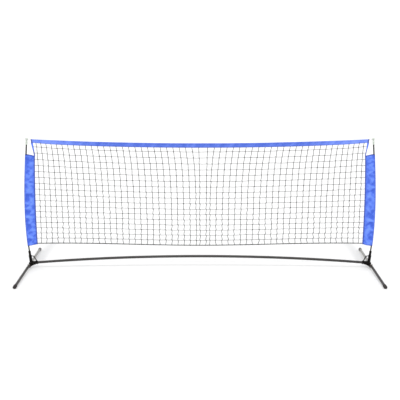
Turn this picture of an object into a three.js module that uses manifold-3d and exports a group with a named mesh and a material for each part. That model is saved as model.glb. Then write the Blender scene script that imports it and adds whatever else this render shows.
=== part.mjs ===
// Portable badminton net: a sprung-pole practice net on a sectional steel base.
// Millimetres, +Z up. X runs along the net, Y runs from the front feet to the rear feet.
// The origin is on the floor, under the middle of the net.

import * as THREE from 'three';
import { mergeVertices } from 'three/addons/utils/BufferGeometryUtils.js';
import Module from 'manifold-3d';

const wasm = await Module();
wasm.setup();

// ---- driving dimensions ----

const GAP = 0.3; // air between pieces that touch on the real object
const ROUND_SIDES = 16; // facets round a tube
const SMALL_SIDES = 12; // facets round a bolt, pole or cord

const TUBE_R = 11; // 22 mm steel tube, in the base and the legs
const TUBE_WALL = 1;
const TUBE_BORE_R = TUBE_R - TUBE_WALL;
const SPIGOT_R = TUBE_BORE_R - 0.5; // what pushes into a tube's end

const BASE_MID_Z = 113; // height of the arched base's axis at its middle
const BASE_ARC_R = 17660; // the base bows upward on this radius
const BASE_END_X = 1468; // where each outer tube ends inside its hub
const BASE_JOINT_X = 474; // where the middle tube meets the outer ones
const BASE_SPIGOT_LENGTH = 60;

const PIVOT_X = 1498; // a leg's pivot bolt
const PIVOT_Y = 25; // from the middle plane to the bolt
const PIVOT_Z = 34; // height of the leg's axis at its pivot
const LEG_FAR_X = 1512; // the middle of a foot cap
const LEG_FAR_Y = 452;
const LEG_FAR_Z = 14;
const LEG_TUBE_START = 18; // from the pivot to the tube's near end
const KNUCKLE_R = 12;
const KNUCKLE_HEIGHT = 21;
const CAP_R = 14.6;
const CAP_LENGTH = 38;
const CAP_WALL = 3;

const EAR_R = 13;
const EAR_THICK = 5.6;
const EAR_GAP = KNUCKLE_HEIGHT + 2 * GAP;
const EAR_LOW_Z = PIVOT_Z - EAR_GAP / 2 - EAR_THICK;

const HUB_MOUTH_X = 1424; // where the base bar goes into the hub's barrel
const BARREL_END_X = 1488;
const BARREL_R = TUBE_R + 3.4;
const FLANK_THICK = 21;
const FLANK_INNER_X = 1440;
const FLANK_TOP_Z = 66;
const FLANK_LOW_Z = EAR_LOW_Z + 1;
const FLANK_BELLY_Z = 40; // the flank's underside where it meets the barrel
const BOSS_LOW_Z = 50;
const BOSS_TOP_Z = 120;
const BRACE_THICK = 12;
const BRACE_KNEE_X = 1454; // the brace's outer corner, level with the boss
const BRACE_KNEE_Z = 116;
const BRACE_WIDTH = 9;

const BOLT_R = 3;
const BOLT_HOLE_R = BOLT_R + GAP;
const BOLT_HEAD_R = 6;
const BOLT_HEAD_HEIGHT = 3.6;
const NUT_R = 5.6;
const NUT_HEIGHT = 4.6;

const POLE_R = 6; // 12 mm glass-fibre pole
const POLE_SOCKET_X = 1491; // the pole's axis where it leaves its socket
const SOCKET_TOP_Z = 160;
const SOCKET_FOOT_Z = 69;
const SOCKET_R = 10.5;
const SOCKET_BORE_R = POLE_R + GAP;
const POLE_LEAN = 0.085; // outward lean of the socket, as a slope
const POLE_PULL = 122; // how far the net pulls the pole's tip inward
const POLE_TIP_Z = 1130;
const POLE_JOINT_Z = 640; // where the two pole sections meet
const FERRULE_R = 7.2;
const FERRULE_LENGTH = 110;

const POLE_CAP_R = 8.5;
const POLE_CAP_FLANGE_R = 12;
const POLE_CAP_LOW_Z = 1106;
const GROOVE_R = 5.4;
const GROOVE_LOW = 15.5; // above the pole's tip
const GROOVE_HIGH = 20.5;
const POLE_CAP_TOP = 30;
const HEAD_CORD_R = 2;

const BAND_END_X = 1416;
const BAND_MID_Z = 1116; // top edge of the band at mid span
const BAND_SAG = 35;
const BAND_HEIGHT = 38;
const BAND_PINCH = 8; // how much the band is gathered in at its ends
const BAND_PINCH_REACH = 150;
const BAND_THICK = 7;
const BAND_CHANNEL_DROP = 5; // from the band's top edge to the cord inside it

const SLEEVE_TOP_OUTER_Z = 1021;
const SLEEVE_TOP_INNER_Z = 1009;
const SLEEVE_LOW_OUTER_Z = 211;
const SLEEVE_LOW_INNER_Z = 224;
const SLEEVE_POCKET_R = FERRULE_R + 0.8;
const SLEEVE_TUBE_R = SLEEVE_POCKET_R + 1.2;
const SLEEVE_THICK = 2.4;
const SLEEVE_INNER_TOP_X = 1389;
const SLEEVE_INNER_LOW_X = 1414;
const SLEEVE_INNER_BOW = 7;

const TAPE_TOP_X = 1416;
const TAPE_DRIFT = 20; // how far it leans inward on the way down
const TAPE_TOP_WIDTH = 17;
const TAPE_LOW_WIDTH = 9;
const TAPE_LIFT = 1.8; // clears the sleeve top, which slopes down inward
const TAPE_THICK = 2;
const NET_THICK = 1.4;
const BOTTOM_CORD_R = 2.8;
const BOTTOM_CORD_MID_Z = 214;
const BOTTOM_CORD_RISE = 10;
const BOTTOM_CORD_WAVE = 1200;

// ---- finishes ----

const finish = (color, roughness, metalness) =>
  new THREE.MeshStandardMaterial({ color, roughness, metalness });

const STEEL = () => finish(0x66625f, 0.45, 0.6);
const MOULDING = () => finish(0x1b1918, 0.7, 0);
const POLE = () => finish(0x161514, 0.4, 0);
const ZINC = () => finish(0x9a9a96, 0.4, 0.9);
const WHITE = () => finish(0xdde2da, 0.5, 0);
const BLUE = () => finish(0x5c80ec, 0.75, 0);
const NET = () => finish(0x141414, 0.9, 0);

// ---- curves of the sprung pole, the arched base and the net's edges ----

// The pole is straight in its socket and bends above it as a tip-loaded cantilever does.
function poleX(z) {
  const above = z - SOCKET_TOP_Z;
  const straight = POLE_SOCKET_X + POLE_LEAN * above;
  if (above <= 0) return straight;
  const r = above / (POLE_TIP_Z - SOCKET_TOP_Z);
  return straight - (POLE_PULL * (3 * r * r - r * r * r)) / 2;
}

const baseZ = (x) => BASE_MID_Z - (BASE_ARC_R - Math.sqrt(BASE_ARC_R ** 2 - x * x));
const bandTopZ = (x) => BAND_MID_Z + BAND_SAG * (x / BAND_END_X) ** 2;
const bandLowZ = (x) => {
  const pinch = BAND_PINCH * Math.exp((Math.abs(x) - BAND_END_X) / BAND_PINCH_REACH);
  return bandTopZ(x) - BAND_HEIGHT + pinch;
};
const bottomCordZ = (x) =>
  BOTTOM_CORD_MID_Z + BOTTOM_CORD_RISE * (1 - Math.cos((Math.PI * x) / BOTTOM_CORD_WAVE));

function sleeveInnerX(z) {
  const down = (SLEEVE_TOP_INNER_Z - z) / (SLEEVE_TOP_INNER_Z - SLEEVE_LOW_INNER_Z);
  const straight = THREE.MathUtils.lerp(SLEEVE_INNER_TOP_X, SLEEVE_INNER_LOW_X, down);
  return straight + 4 * SLEEVE_INNER_BOW * down * (1 - down);
}

// A curve in the XZ plane through x(s), z(s) as s runs from one value to another.
class PlaneCurve extends THREE.Curve {
  constructor(from, to, x, z) {
    super();
    Object.assign(this, { from, to, x, z });
  }

  getPoint(t, target = new THREE.Vector3()) {
    const s = THREE.MathUtils.lerp(this.from, this.to, t);
    return target.set(this.x(s), 0, this.z(s));
  }
}

const poleCurve = (low, high) => new PlaneCurve(low, high, poleX, (z) => z);
const baseCurve = (from, to) => new PlaneCurve(from, to, (x) => x, baseZ);

// ---- solids ----

function toSolid(geometry) {
  const bare = geometry.clone();
  bare.deleteAttribute('normal');
  bare.deleteAttribute('uv');
  const merged = mergeVertices(bare, 1e-4);
  const mesh = new wasm.Mesh({
    numProp: 3,
    vertProperties: new Float32Array(merged.attributes.position.array),
    triVerts: new Uint32Array(merged.index.array),
  });
  return new wasm.Manifold(mesh);
}

function fromSolid(solid) {
  const mesh = solid.getMesh();
  const geometry = new THREE.BufferGeometry();
  geometry.setAttribute('position', new THREE.BufferAttribute(mesh.vertProperties, 3));
  geometry.setIndex(new THREE.BufferAttribute(mesh.triVerts, 1));
  geometry.computeVertexNormals();
  return geometry;
}

// Joins the first list of geometries and cuts the second list out of the result.
function join(added, cut = []) {
  const whole = added.map(toSolid).reduce((sum, next) => sum.add(next));
  return fromSolid(cut.map(toSolid).reduce((sum, next) => sum.subtract(next), whole));
}

function circle(radius, sides) {
  return Array.from({ length: sides }, (_, i) => {
    const angle = (2 * Math.PI * (i + 0.5)) / sides;
    return new THREE.Vector2(radius * Math.cos(angle), radius * Math.sin(angle));
  });
}

// A round rod along a curve, or a tube when it has a bore.
function rodAlong(curve, radius, { bore = 0, sides = ROUND_SIDES, steps = 10 } = {}) {
  const section = new THREE.Shape(circle(radius, sides));
  if (bore > 0) section.holes.push(new THREE.Path(circle(bore, sides)));
  return new THREE.ExtrudeGeometry(section, { steps, extrudePath: curve });
}

function straightRod(from, to, radius, options = {}) {
  return rodAlong(new THREE.LineCurve3(from, to), radius, { steps: 1, ...options });
}

// A body of revolution about +Y, from points of [radius, height] that close on themselves.
function turned(points, sides = ROUND_SIDES) {
  const profile = points.map(([radius, height]) => new THREE.Vector2(radius, height));
  return new THREE.LatheGeometry(profile, sides);
}

// A plate in the XZ plane, centred on Y = 0.
function uprightPlate(shape, thickness) {
  const plate = new THREE.ExtrudeGeometry(shape, {
    depth: thickness,
    bevelEnabled: false,
    curveSegments: 6,
  });
  return plate.rotateX(Math.PI / 2).translate(0, thickness / 2, 0);
}

function levelPlate(shape, lowZ, highZ) {
  const plate = new THREE.ExtrudeGeometry(shape, {
    depth: highZ - lowZ,
    bevelEnabled: false,
    curveSegments: 8,
  });
  return plate.translate(0, 0, lowZ);
}

const samples = (from, to, count, make) =>
  Array.from({ length: count + 1 }, (_, i) => make(from + ((to - from) * i) / count));

function piece(name, geometry, material) {
  const mesh = new THREE.Mesh(geometry, material);
  mesh.name = name;
  return mesh;
}

// ---- hub: the black moulding that holds base, pole socket and legs together ----

// One ear plate below the legs carries both pivots.
function earGeometry() {
  const ear = new THREE.Shape();
  ear.moveTo(PIVOT_X + EAR_R, -PIVOT_Y);
  ear.lineTo(PIVOT_X + EAR_R, PIVOT_Y);
  ear.absarc(PIVOT_X, PIVOT_Y, EAR_R, 0, Math.PI, false);
  ear.lineTo(PIVOT_X - EAR_R, -PIVOT_Y);
  ear.absarc(PIVOT_X, -PIVOT_Y, EAR_R, Math.PI, 2 * Math.PI, false);
  return levelPlate(ear, EAR_LOW_Z, EAR_LOW_Z + EAR_THICK);
}

// The upright web between the ear plate, the barrel and the boss.
function flankGeometry() {
  const outerX = PIVOT_X + EAR_R - 3;
  const flank = new THREE.Shape();
  flank.moveTo(outerX, FLANK_LOW_Z);
  flank.lineTo(outerX, PIVOT_Z);
  flank.lineTo(poleX(FLANK_TOP_Z) + SOCKET_R, FLANK_TOP_Z);
  flank.lineTo(FLANK_INNER_X + 26, FLANK_TOP_Z);
  flank.lineTo(FLANK_INNER_X, FLANK_TOP_Z - 10);
  flank.lineTo(FLANK_INNER_X, FLANK_BELLY_Z);
  flank.quadraticCurveTo(FLANK_INNER_X + 26, FLANK_BELLY_Z - 5, PIVOT_X - EAR_R, FLANK_LOW_Z);
  return uprightPlate(flank, FLANK_THICK);
}

// The brace: a rib from the barrel's mouth up to a knee and across to the boss, over an
// open triangle.
function braceGeometry() {
  const foot = baseZ(HUB_MOUTH_X);
  const brace = new THREE.Shape();
  brace.moveTo(HUB_MOUTH_X + 1, foot + 4);
  brace.lineTo(BRACE_KNEE_X, BRACE_KNEE_Z);
  brace.lineTo(poleX(BOSS_TOP_Z), BOSS_TOP_Z);
  brace.lineTo(poleX(BOSS_TOP_Z), BOSS_TOP_Z - BRACE_WIDTH);
  brace.lineTo(BRACE_KNEE_X + BRACE_WIDTH - 2, BRACE_KNEE_Z - BRACE_WIDTH + 1);
  brace.lineTo(HUB_MOUTH_X + BRACE_WIDTH, foot - 2);
  return uprightPlate(brace, BRACE_THICK);
}

function hubGeometry() {
  const onBar = (x) => new THREE.Vector3(x, 0, baseZ(x));
  const onSocket = (z) => new THREE.Vector3(poleX(z), 0, z);
  const barrel = straightRod(onBar(HUB_MOUTH_X), onBar(BARREL_END_X), BARREL_R);
  const boss = straightRod(onSocket(BOSS_LOW_Z), onSocket(BOSS_TOP_Z), SOCKET_R + 2.4);
  const barBore = straightRod(
    onBar(HUB_MOUTH_X - 2),
    onBar(BASE_END_X + GAP),
    TUBE_R + 2 * GAP,
  );
  const socketBore = straightRod(
    onSocket(SOCKET_FOOT_Z - GAP),
    onSocket(SOCKET_TOP_Z),
    SOCKET_R + GAP,
  );
  const boltHoles = [-PIVOT_Y, PIVOT_Y].map((y) =>
    straightRod(
      new THREE.Vector3(PIVOT_X, y, EAR_LOW_Z - 5),
      new THREE.Vector3(PIVOT_X, y, EAR_LOW_Z + EAR_THICK + 5),
      BOLT_HOLE_R,
      { sides: SMALL_SIDES },
    ),
  );
  return join(
    [earGeometry(), flankGeometry(), barrel, boss, braceGeometry()],
    [barBore, socketBore, ...boltHoles],
  );
}

function poleSocketGeometry() {
  const foot = new THREE.Vector3(poleX(SOCKET_FOOT_Z), 0, SOCKET_FOOT_Z);
  const top = new THREE.Vector3(poleX(SOCKET_TOP_Z), 0, SOCKET_TOP_Z);
  return straightRod(foot, top, SOCKET_R, { bore: SOCKET_BORE_R });
}

// ---- legs: each is modelled along +Y from its pivot, with Z measured from the floor ----

const LEG_REACH = Math.hypot(LEG_FAR_X - PIVOT_X, LEG_FAR_Y - PIVOT_Y);
const LEG_SPLAY = Math.atan((LEG_FAR_X - PIVOT_X) / (LEG_FAR_Y - PIVOT_Y));
const LEG_TILT = Math.atan((PIVOT_Z - LEG_FAR_Z) / LEG_REACH);

const legAxisPoint = (along) =>
  new THREE.Vector3(0, along * Math.cos(LEG_TILT), PIVOT_Z - along * Math.sin(LEG_TILT));

function legTubeGeometry() {
  const start = legAxisPoint(LEG_TUBE_START);
  const end = legAxisPoint(LEG_REACH + CAP_LENGTH / 2 - CAP_WALL - 6);
  return straightRod(start, end, TUBE_R, { bore: TUBE_BORE_R });
}

function legKnuckleGeometry() {
  const half = KNUCKLE_HEIGHT / 2;
  const eye = straightRod(
    new THREE.Vector3(0, 0, PIVOT_Z - half),
    new THREE.Vector3(0, 0, PIVOT_Z + half),
    KNUCKLE_R,
  );
  const collar = straightRod(legAxisPoint(0), legAxisPoint(LEG_TUBE_START - GAP), TUBE_BORE_R - 0.2);
  const spigot = straightRod(legAxisPoint(6), legAxisPoint(LEG_TUBE_START + 28), SPIGOT_R);
  const hole = straightRod(
    new THREE.Vector3(0, 0, PIVOT_Z - half - 2),
    new THREE.Vector3(0, 0, PIVOT_Z + half + 2),
    BOLT_HOLE_R,
    { sides: SMALL_SIDES },
  );
  return join([eye, collar, spigot], [hole]);
}

// A foot cap: a soft moulded thimble with a rounded end and a flat that stands on the floor.
function footCapGeometry() {
  const boreR = TUBE_R + GAP;
  const near = -CAP_LENGTH / 2;
  const far = CAP_LENGTH / 2;
  const round = 6;
  const nose = samples(0, Math.PI / 2, 3, (angle) => [
    CAP_R - round + round * Math.cos(angle),
    far - round + round * Math.sin(angle),
  ]);
  const outline = [
    [0, far - CAP_WALL - 5],
    [boreR, far - CAP_WALL - 5],
    [boreR, near],
    [CAP_R - 1.2, near],
    [CAP_R, near + 2],
    ...nose,
    [0, far],
    [0, far - CAP_WALL - 5],
  ];
  const cap = turned(outline, 20);
  cap.translate(0, LEG_REACH / Math.cos(LEG_TILT), 0);
  cap.rotateX(-LEG_TILT);
  cap.translate(0, 0, PIVOT_Z);
  const floor = new THREE.BoxGeometry(60, 2 * LEG_FAR_Y + 200, 40);
  floor.translate(0, 0, -20);
  return join([cap], [floor]);
}

function pivotBoltGeometry() {
  const headLow = PIVOT_Z + KNUCKLE_HEIGHT / 2 + GAP;
  const headTop = headLow + BOLT_HEAD_HEIGHT;
  const tip = EAR_LOW_Z - GAP - NUT_HEIGHT - 1.2;
  const bolt = turned([
    [0, tip],
    [BOLT_R - 0.6, tip],
    [BOLT_R, tip + 0.8],
    [BOLT_R, headLow],
    [BOLT_HEAD_R, headLow],
    [BOLT_HEAD_R, headLow + 1.4],
    [BOLT_HEAD_R * 0.72, headTop - 0.4],
    [0, headTop],
    [0, tip],
  ], SMALL_SIDES);
  return bolt.rotateX(Math.PI / 2);
}

function pivotNutGeometry() {
  const low = EAR_LOW_Z - GAP - NUT_HEIGHT;
  const section = new THREE.Shape(circle(NUT_R, 6));
  section.holes.push(new THREE.Path(circle(BOLT_HOLE_R, SMALL_SIDES)));
  return levelPlate(section, low, low + NUT_HEIGHT);
}

function buildLeg(name, towardsRear) {
  const leg = new THREE.Group();
  leg.position.set(PIVOT_X, towardsRear ? PIVOT_Y : -PIVOT_Y, 0);
  leg.rotation.z = towardsRear ? -LEG_SPLAY : Math.PI + LEG_SPLAY;
  leg.add(
    piece(`leg_tube_${name}`, legTubeGeometry(), STEEL()),
    piece(`leg_knuckle_${name}`, legKnuckleGeometry(), MOULDING()),
    piece(`foot_cap_${name}`, footCapGeometry(), MOULDING()),
    piece(`pivot_bolt_${name}`, pivotBoltGeometry(), ZINC()),
    piece(`pivot_nut_${name}`, pivotNutGeometry(), ZINC()),
  );
  return leg;
}

// ---- sprung pole ----

function poleLowerGeometry() {
  const curve = poleCurve(SOCKET_FOOT_Z + 2, POLE_JOINT_Z - GAP);
  return rodAlong(curve, POLE_R, { sides: SMALL_SIDES, steps: 8 });
}

function poleUpperGeometry() {
  const curve = poleCurve(POLE_JOINT_Z + GAP, POLE_TIP_Z);
  return rodAlong(curve, POLE_R, { sides: SMALL_SIDES, steps: 8 });
}

function ferruleGeometry() {
  const half = FERRULE_LENGTH / 2;
  const curve = poleCurve(POLE_JOINT_Z - half, POLE_JOINT_Z + half);
  return rodAlong(curve, FERRULE_R, { bore: POLE_R + GAP, sides: SMALL_SIDES, steps: 4 });
}

// The frame at the pole's tip: +Y along the pole, so that turned pieces sit on it.
function placeOnTip(geometry) {
  const tip = new THREE.Vector3(poleX(POLE_TIP_Z), 0, POLE_TIP_Z);
  const below = new THREE.Vector3(poleX(POLE_TIP_Z - 1), 0, POLE_TIP_Z - 1);
  const along = tip.clone().sub(below).normalize();
  const turn = new THREE.Quaternion().setFromUnitVectors(new THREE.Vector3(0, 1, 0), along);
  return geometry.applyQuaternion(turn).translate(tip.x, tip.y, tip.z);
}

function poleCapGeometry() {
  const low = POLE_CAP_LOW_Z - POLE_TIP_Z;
  const cap = turned([
    [0, GAP],
    [POLE_R + GAP, GAP],
    [POLE_R + GAP, low],
    [POLE_CAP_R - 0.8, low],
    [POLE_CAP_R, low + 2],
    [POLE_CAP_R - 0.6, GROOVE_LOW - 1],
    [POLE_CAP_R - 1.4, GROOVE_LOW],
    [GROOVE_R, GROOVE_LOW],
    [GROOVE_R, GROOVE_HIGH],
    [POLE_CAP_FLANGE_R - 1, GROOVE_HIGH],
    [POLE_CAP_FLANGE_R, GROOVE_HIGH + 2],
    [POLE_CAP_FLANGE_R - 2, POLE_CAP_TOP - 2],
    [POLE_CAP_FLANGE_R / 2, POLE_CAP_TOP],
    [0, POLE_CAP_TOP],
    [0, GAP],
  ]);
  return placeOnTip(cap);
}

// ---- side sleeve: a sewn fabric panel with a pocket that slides over the pole ----

function sleeveGeometry() {
  const inner = samples(SLEEVE_TOP_INNER_Z, SLEEVE_LOW_INNER_Z, 10, (z) =>
    new THREE.Vector2(sleeveInnerX(z), z),
  );
  const outer = samples(SLEEVE_LOW_OUTER_Z, SLEEVE_TOP_OUTER_Z, 10, (z) =>
    new THREE.Vector2(poleX(z), z),
  );
  const panel = uprightPlate(new THREE.Shape([...outer, ...inner]), SLEEVE_THICK);
  const around = rodAlong(poleCurve(SLEEVE_LOW_OUTER_Z, SLEEVE_TOP_OUTER_Z), SLEEVE_TUBE_R, {
    sides: SMALL_SIDES,
    steps: 12,
  });
  const pocket = rodAlong(
    poleCurve(SLEEVE_LOW_OUTER_Z - 20, SLEEVE_TOP_OUTER_Z + 20),
    SLEEVE_POCKET_R,
    { sides: SMALL_SIDES, steps: 12 },
  );
  return join([panel, around], [pocket]);
}

// ---- edge tape: the narrow strip that joins the band's corner to the sleeve ----

// A point on the tape: down runs from 0 at the band to 1 at the sleeve's inner corner.
function tapePoint(down, inset) {
  const top = bandLowZ(BAND_END_X - TAPE_TOP_WIDTH) - 1;
  const z = THREE.MathUtils.lerp(top, SLEEVE_TOP_INNER_Z + TAPE_LIFT, down);
  return new THREE.Vector2(TAPE_TOP_X - TAPE_DRIFT * down - inset, z);
}

const tapeWidth = (down) => THREE.MathUtils.lerp(TAPE_TOP_WIDTH, TAPE_LOW_WIDTH, down);

function edgeTapeGeometry() {
  const outer = samples(1, 0, 5, (down) => tapePoint(down, 0));
  const inner = samples(0, 1, 5, (down) => tapePoint(down, tapeWidth(down)));
  return uprightPlate(new THREE.Shape([...outer, ...inner]), TAPE_THICK);
}

// ---- one end of the net: the left end is the right end turned half way round ----

function buildEnd(side) {
  const end = new THREE.Group();
  end.rotation.z = side === 'left' ? Math.PI : 0;
  const rearIsPositive = side === 'right';
  end.add(
    piece(`hub_${side}`, hubGeometry(), MOULDING()),
    piece(`pole_socket_${side}`, poleSocketGeometry(), MOULDING()),
    buildLeg(`rear_${side}`, rearIsPositive),
    buildLeg(`front_${side}`, !rearIsPositive),
    piece(`pole_lower_${side}`, poleLowerGeometry(), POLE()),
    piece(`pole_upper_${side}`, poleUpperGeometry(), POLE()),
    piece(`pole_ferrule_${side}`, ferruleGeometry(), ZINC()),
    piece(`pole_cap_${side}`, poleCapGeometry(), WHITE()),
    piece(`side_sleeve_${side}`, sleeveGeometry(), BLUE()),
    piece(`edge_tape_${side}`, edgeTapeGeometry(), BLUE()),
  );
  return end;
}

// ---- base: three push-fit tubes on one long arc ----

function baseOuterGeometry() {
  return rodAlong(baseCurve(BASE_JOINT_X + GAP, BASE_END_X), TUBE_R, {
    bore: TUBE_BORE_R,
    steps: 6,
  });
}

function baseMiddleGeometry() {
  const tube = rodAlong(baseCurve(-BASE_JOINT_X, BASE_JOINT_X), TUBE_R, { steps: 6 });
  const tip = BASE_JOINT_X + BASE_SPIGOT_LENGTH;
  const spigot = rodAlong(baseCurve(-tip, tip), SPIGOT_R, { steps: 6 });
  const throat = rodAlong(baseCurve(-tip - 5, tip + 5), SPIGOT_R - TUBE_WALL, { steps: 6 });
  const neck = BASE_JOINT_X - 4;
  const bore = rodAlong(baseCurve(-neck, neck), TUBE_BORE_R, { steps: 6 });
  return join([tube, spigot], [throat, bore]);
}

// ---- net: band, head cord, mesh and bottom cord ----

const headCordCurve = (reach) =>
  new PlaneCurve(-reach, reach, (x) => x, (x) => bandTopZ(x) - BAND_CHANNEL_DROP);

function topBandGeometry() {
  const count = 16;
  const top = samples(-BAND_END_X, BAND_END_X, count, (x) =>
    new THREE.Vector2(x, bandTopZ(x)),
  );
  const low = samples(BAND_END_X, -BAND_END_X, count, (x) =>
    new THREE.Vector2(x, bandLowZ(x)),
  );
  const band = uprightPlate(new THREE.Shape([...low, ...top]), BAND_THICK);
  const channel = rodAlong(headCordCurve(BAND_END_X + 15), HEAD_CORD_R + 2 * GAP, {
    sides: 8,
    steps: 16,
  });
  return join([band], [channel]);
}

// The cord in the band, with a loop at each end that drops into the pole cap's groove.
function headCordGeometry() {
  const loopR = GROOVE_R + HEAD_CORD_R + 0.6;
  const loop = new THREE.TorusGeometry(loopR, HEAD_CORD_R, 8, 18);
  loop.rotateX(Math.PI / 2).translate(0, (GROOVE_LOW + GROOVE_HIGH) / 2, 0);
  const rightLoop = placeOnTip(loop);
  const leftLoop = rightLoop.clone().rotateZ(Math.PI);
  rightLoop.computeBoundingBox();
  const reach = rightLoop.boundingBox.min.x + HEAD_CORD_R;
  const line = rodAlong(headCordCurve(reach), HEAD_CORD_R, { sides: 8, steps: 16 });
  return join([line, rightLoop, leftLoop]);
}

function netMeshGeometry() {
  const margin = 1;
  const bandLow = (x) => bandLowZ(x) - 1;
  const cordTop = (x) => bottomCordZ(x) + BOTTOM_CORD_R + margin;
  const sleeveLowX = SLEEVE_INNER_LOW_X - margin;
  const beside = samples(1, 0.2, 4, (down) => tapePoint(down, tapeWidth(down) + margin));
  const cornerX = beside.at(-1).x;
  const rightSide = [
    ...samples(cordTop(sleeveLowX) + 2, SLEEVE_TOP_INNER_Z - 2, 6, (z) =>
      new THREE.Vector2(sleeveInnerX(z) - margin, z),
    ),
    ...beside,
  ];
  const leftSide = rightSide.map((p) => new THREE.Vector2(-p.x, p.y)).reverse();
  const top = samples(cornerX, -cornerX, 20, (x) => new THREE.Vector2(x, bandLow(x)));
  const low = samples(-sleeveLowX, sleeveLowX, 16, (x) => new THREE.Vector2(x, cordTop(x)));
  return uprightPlate(new THREE.Shape([...low, ...rightSide, ...top, ...leftSide]), NET_THICK);
}

function bottomCordGeometry() {
  const reach = SLEEVE_INNER_LOW_X - 1;
  const curve = new PlaneCurve(-reach, reach, (x) => x, bottomCordZ);
  return rodAlong(curve, BOTTOM_CORD_R, { sides: 8, steps: 20 });
}

// ---- the whole net ----

const net = new THREE.Group();
net.add(
  buildEnd('left'),
  buildEnd('right'),
  piece('base_tube_middle', baseMiddleGeometry(), STEEL()),
  piece('base_tube_right', baseOuterGeometry(), STEEL()),
  piece('base_tube_left', baseOuterGeometry().rotateZ(Math.PI), STEEL()),
  piece('top_band', topBandGeometry(), BLUE()),
  piece('head_cord', headCordGeometry(), WHITE()),
  piece('net_mesh', netMeshGeometry(), NET()),
  piece('bottom_cord', bottomCordGeometry(), NET()),
);

export default net;
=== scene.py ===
# %% [markdown]
# # A portable badminton net
# This file dresses a finished CAD model of a garden badminton net. The CAD part fixes every size
# and every joint; here each piece gets its fine shape and its material. Work in a text editor or
# paste the cells into Blender's Python console one after another.

# %% Load the frame that everything is fitted to
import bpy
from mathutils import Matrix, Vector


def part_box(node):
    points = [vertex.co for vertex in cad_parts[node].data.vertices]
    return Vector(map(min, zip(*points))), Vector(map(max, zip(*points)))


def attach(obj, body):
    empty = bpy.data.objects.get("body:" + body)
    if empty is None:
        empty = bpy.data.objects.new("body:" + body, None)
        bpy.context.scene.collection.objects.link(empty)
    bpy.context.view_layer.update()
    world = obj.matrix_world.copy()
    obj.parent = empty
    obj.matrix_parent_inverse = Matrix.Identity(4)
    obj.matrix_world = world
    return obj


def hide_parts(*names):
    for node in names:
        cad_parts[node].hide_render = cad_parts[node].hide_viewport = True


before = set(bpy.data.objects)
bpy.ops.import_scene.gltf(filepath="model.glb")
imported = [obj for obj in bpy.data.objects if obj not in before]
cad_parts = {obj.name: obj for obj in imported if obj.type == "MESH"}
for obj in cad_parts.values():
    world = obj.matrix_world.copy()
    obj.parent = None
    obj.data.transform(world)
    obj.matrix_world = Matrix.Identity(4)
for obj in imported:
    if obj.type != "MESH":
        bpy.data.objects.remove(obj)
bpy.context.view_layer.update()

# %% Modules, a seed so that each run gives the same net, and a unit
import math

import bmesh
import bpy
import numpy as np
from mathutils import Matrix, Vector

scene = bpy.context.scene
dice = np.random.default_rng(4)
MM = 0.001
print("Blender", bpy.app.version_string)

# %% [markdown]
# ## The camera
# The feet stand three metres apart, so the camera is well back, with a longer lens than a new
# camera has. It is above head height and looks down by about fifteen degrees, which shows the
# splayed feet and still keeps the net upright.

# %% Camera
LOOK_DOWN = 15.5     # degrees below the horizon


def add_object(name, data):
    """A new object that shows in the scene."""
    obj = bpy.data.objects.new(name, data)
    scene.collection.objects.link(obj)
    return obj


camera_data = bpy.data.cameras.new("camera")
camera_data.lens = 61.74
camera_data.sensor_width = 36.0
camera = add_object("camera", camera_data)
camera.location = (0.0, -5.66, 2.193)
camera.rotation_euler = (math.radians(90 - LOOK_DOWN), 0.0, 0.0)
scene.camera = camera
print("lens", camera_data.lens, "mm")

# %% [markdown]
# ## Floor and light
# A net is thin dark lines, and it reads best on white. The floor is a wide pale sheet that curves
# up far behind the net, so there is no edge between floor and wall. It glows a little by itself:
# that makes it white without a light so strong that it would swallow thin twine. A bright even sky
# gives the fill, and one broad key light in front and above gives the faint shadows.

# %% Studio floor
def mesh_object(name, verts, faces, uvs=None, smooth=True):
    """A new object from points and faces. uvs holds one pair for each corner of each face."""
    mesh = bpy.data.meshes.new(name)
    mesh.from_pydata(np.asarray(verts, float).tolist(), [], [list(map(int, f)) for f in faces])
    mesh.polygons.foreach_set("use_smooth", np.full(len(mesh.polygons), smooth))
    if uvs is not None:
        layer = mesh.uv_layers.new(name="UVMap")
        layer.data.foreach_set("uv", np.asarray(uvs, np.float32).ravel())
    return add_object(name, mesh)


def grid_faces(rows, columns, wrap=False):
    """Quads over a grid of points, row after row. wrap joins the last column to the first."""
    row, column = np.mgrid[0:rows - 1, 0:columns if wrap else columns - 1]
    beside = (column + 1) % columns
    corners = (row * columns + column, row * columns + beside,
               (row + 1) * columns + beside, (row + 1) * columns + column)
    return np.stack([c.ravel() for c in corners], 1)


def studio_floor(front=-12.0, back=9.0, rise=6.0, half_width=16.0):
    bend = np.linspace(0, math.pi / 2, 16)
    profile = [(front, 0.0)]
    profile += [(back + rise * math.sin(a), rise - rise * math.cos(a)) for a in bend]
    verts = [(side * half_width, y, z) for y, z in profile for side in (-1, 1)]
    floor = mesh_object("studio_floor", verts, grid_faces(len(profile), 2))
    paper = bpy.data.materials.new("studio_paper")
    paper.use_nodes = True
    shader = paper.node_tree.nodes["Principled BSDF"]
    shader.inputs["Base Color"].default_value = (0.62, 0.62, 0.62, 1)
    shader.inputs["Emission Color"].default_value = (1.0, 1.0, 1.0, 1)
    shader.inputs["Emission Strength"].default_value = 0.29
    shader.inputs["Roughness"].default_value = 0.9
    shader.inputs["Specular IOR Level"].default_value = 0.1
    floor.data.materials.append(paper)
    return floor


print("studio floor:", len(studio_floor().data.polygons), "faces")

# %% Sky and key light
SKY_STRENGTH = 1.02
KEY_STRENGTH = 1.2
KEY_DIRECTION = (0.0, 3.2, -4.4)     # the way the light travels: to the rear and down

world = bpy.data.worlds.new("studio_sky")
world.use_nodes = True
world.node_tree.nodes["Background"].inputs["Color"].default_value = (1.0, 1.0, 1.0, 1)
world.node_tree.nodes["Background"].inputs["Strength"].default_value = SKY_STRENGTH
scene.world = world
scene.view_settings.view_transform = "Standard"

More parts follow.
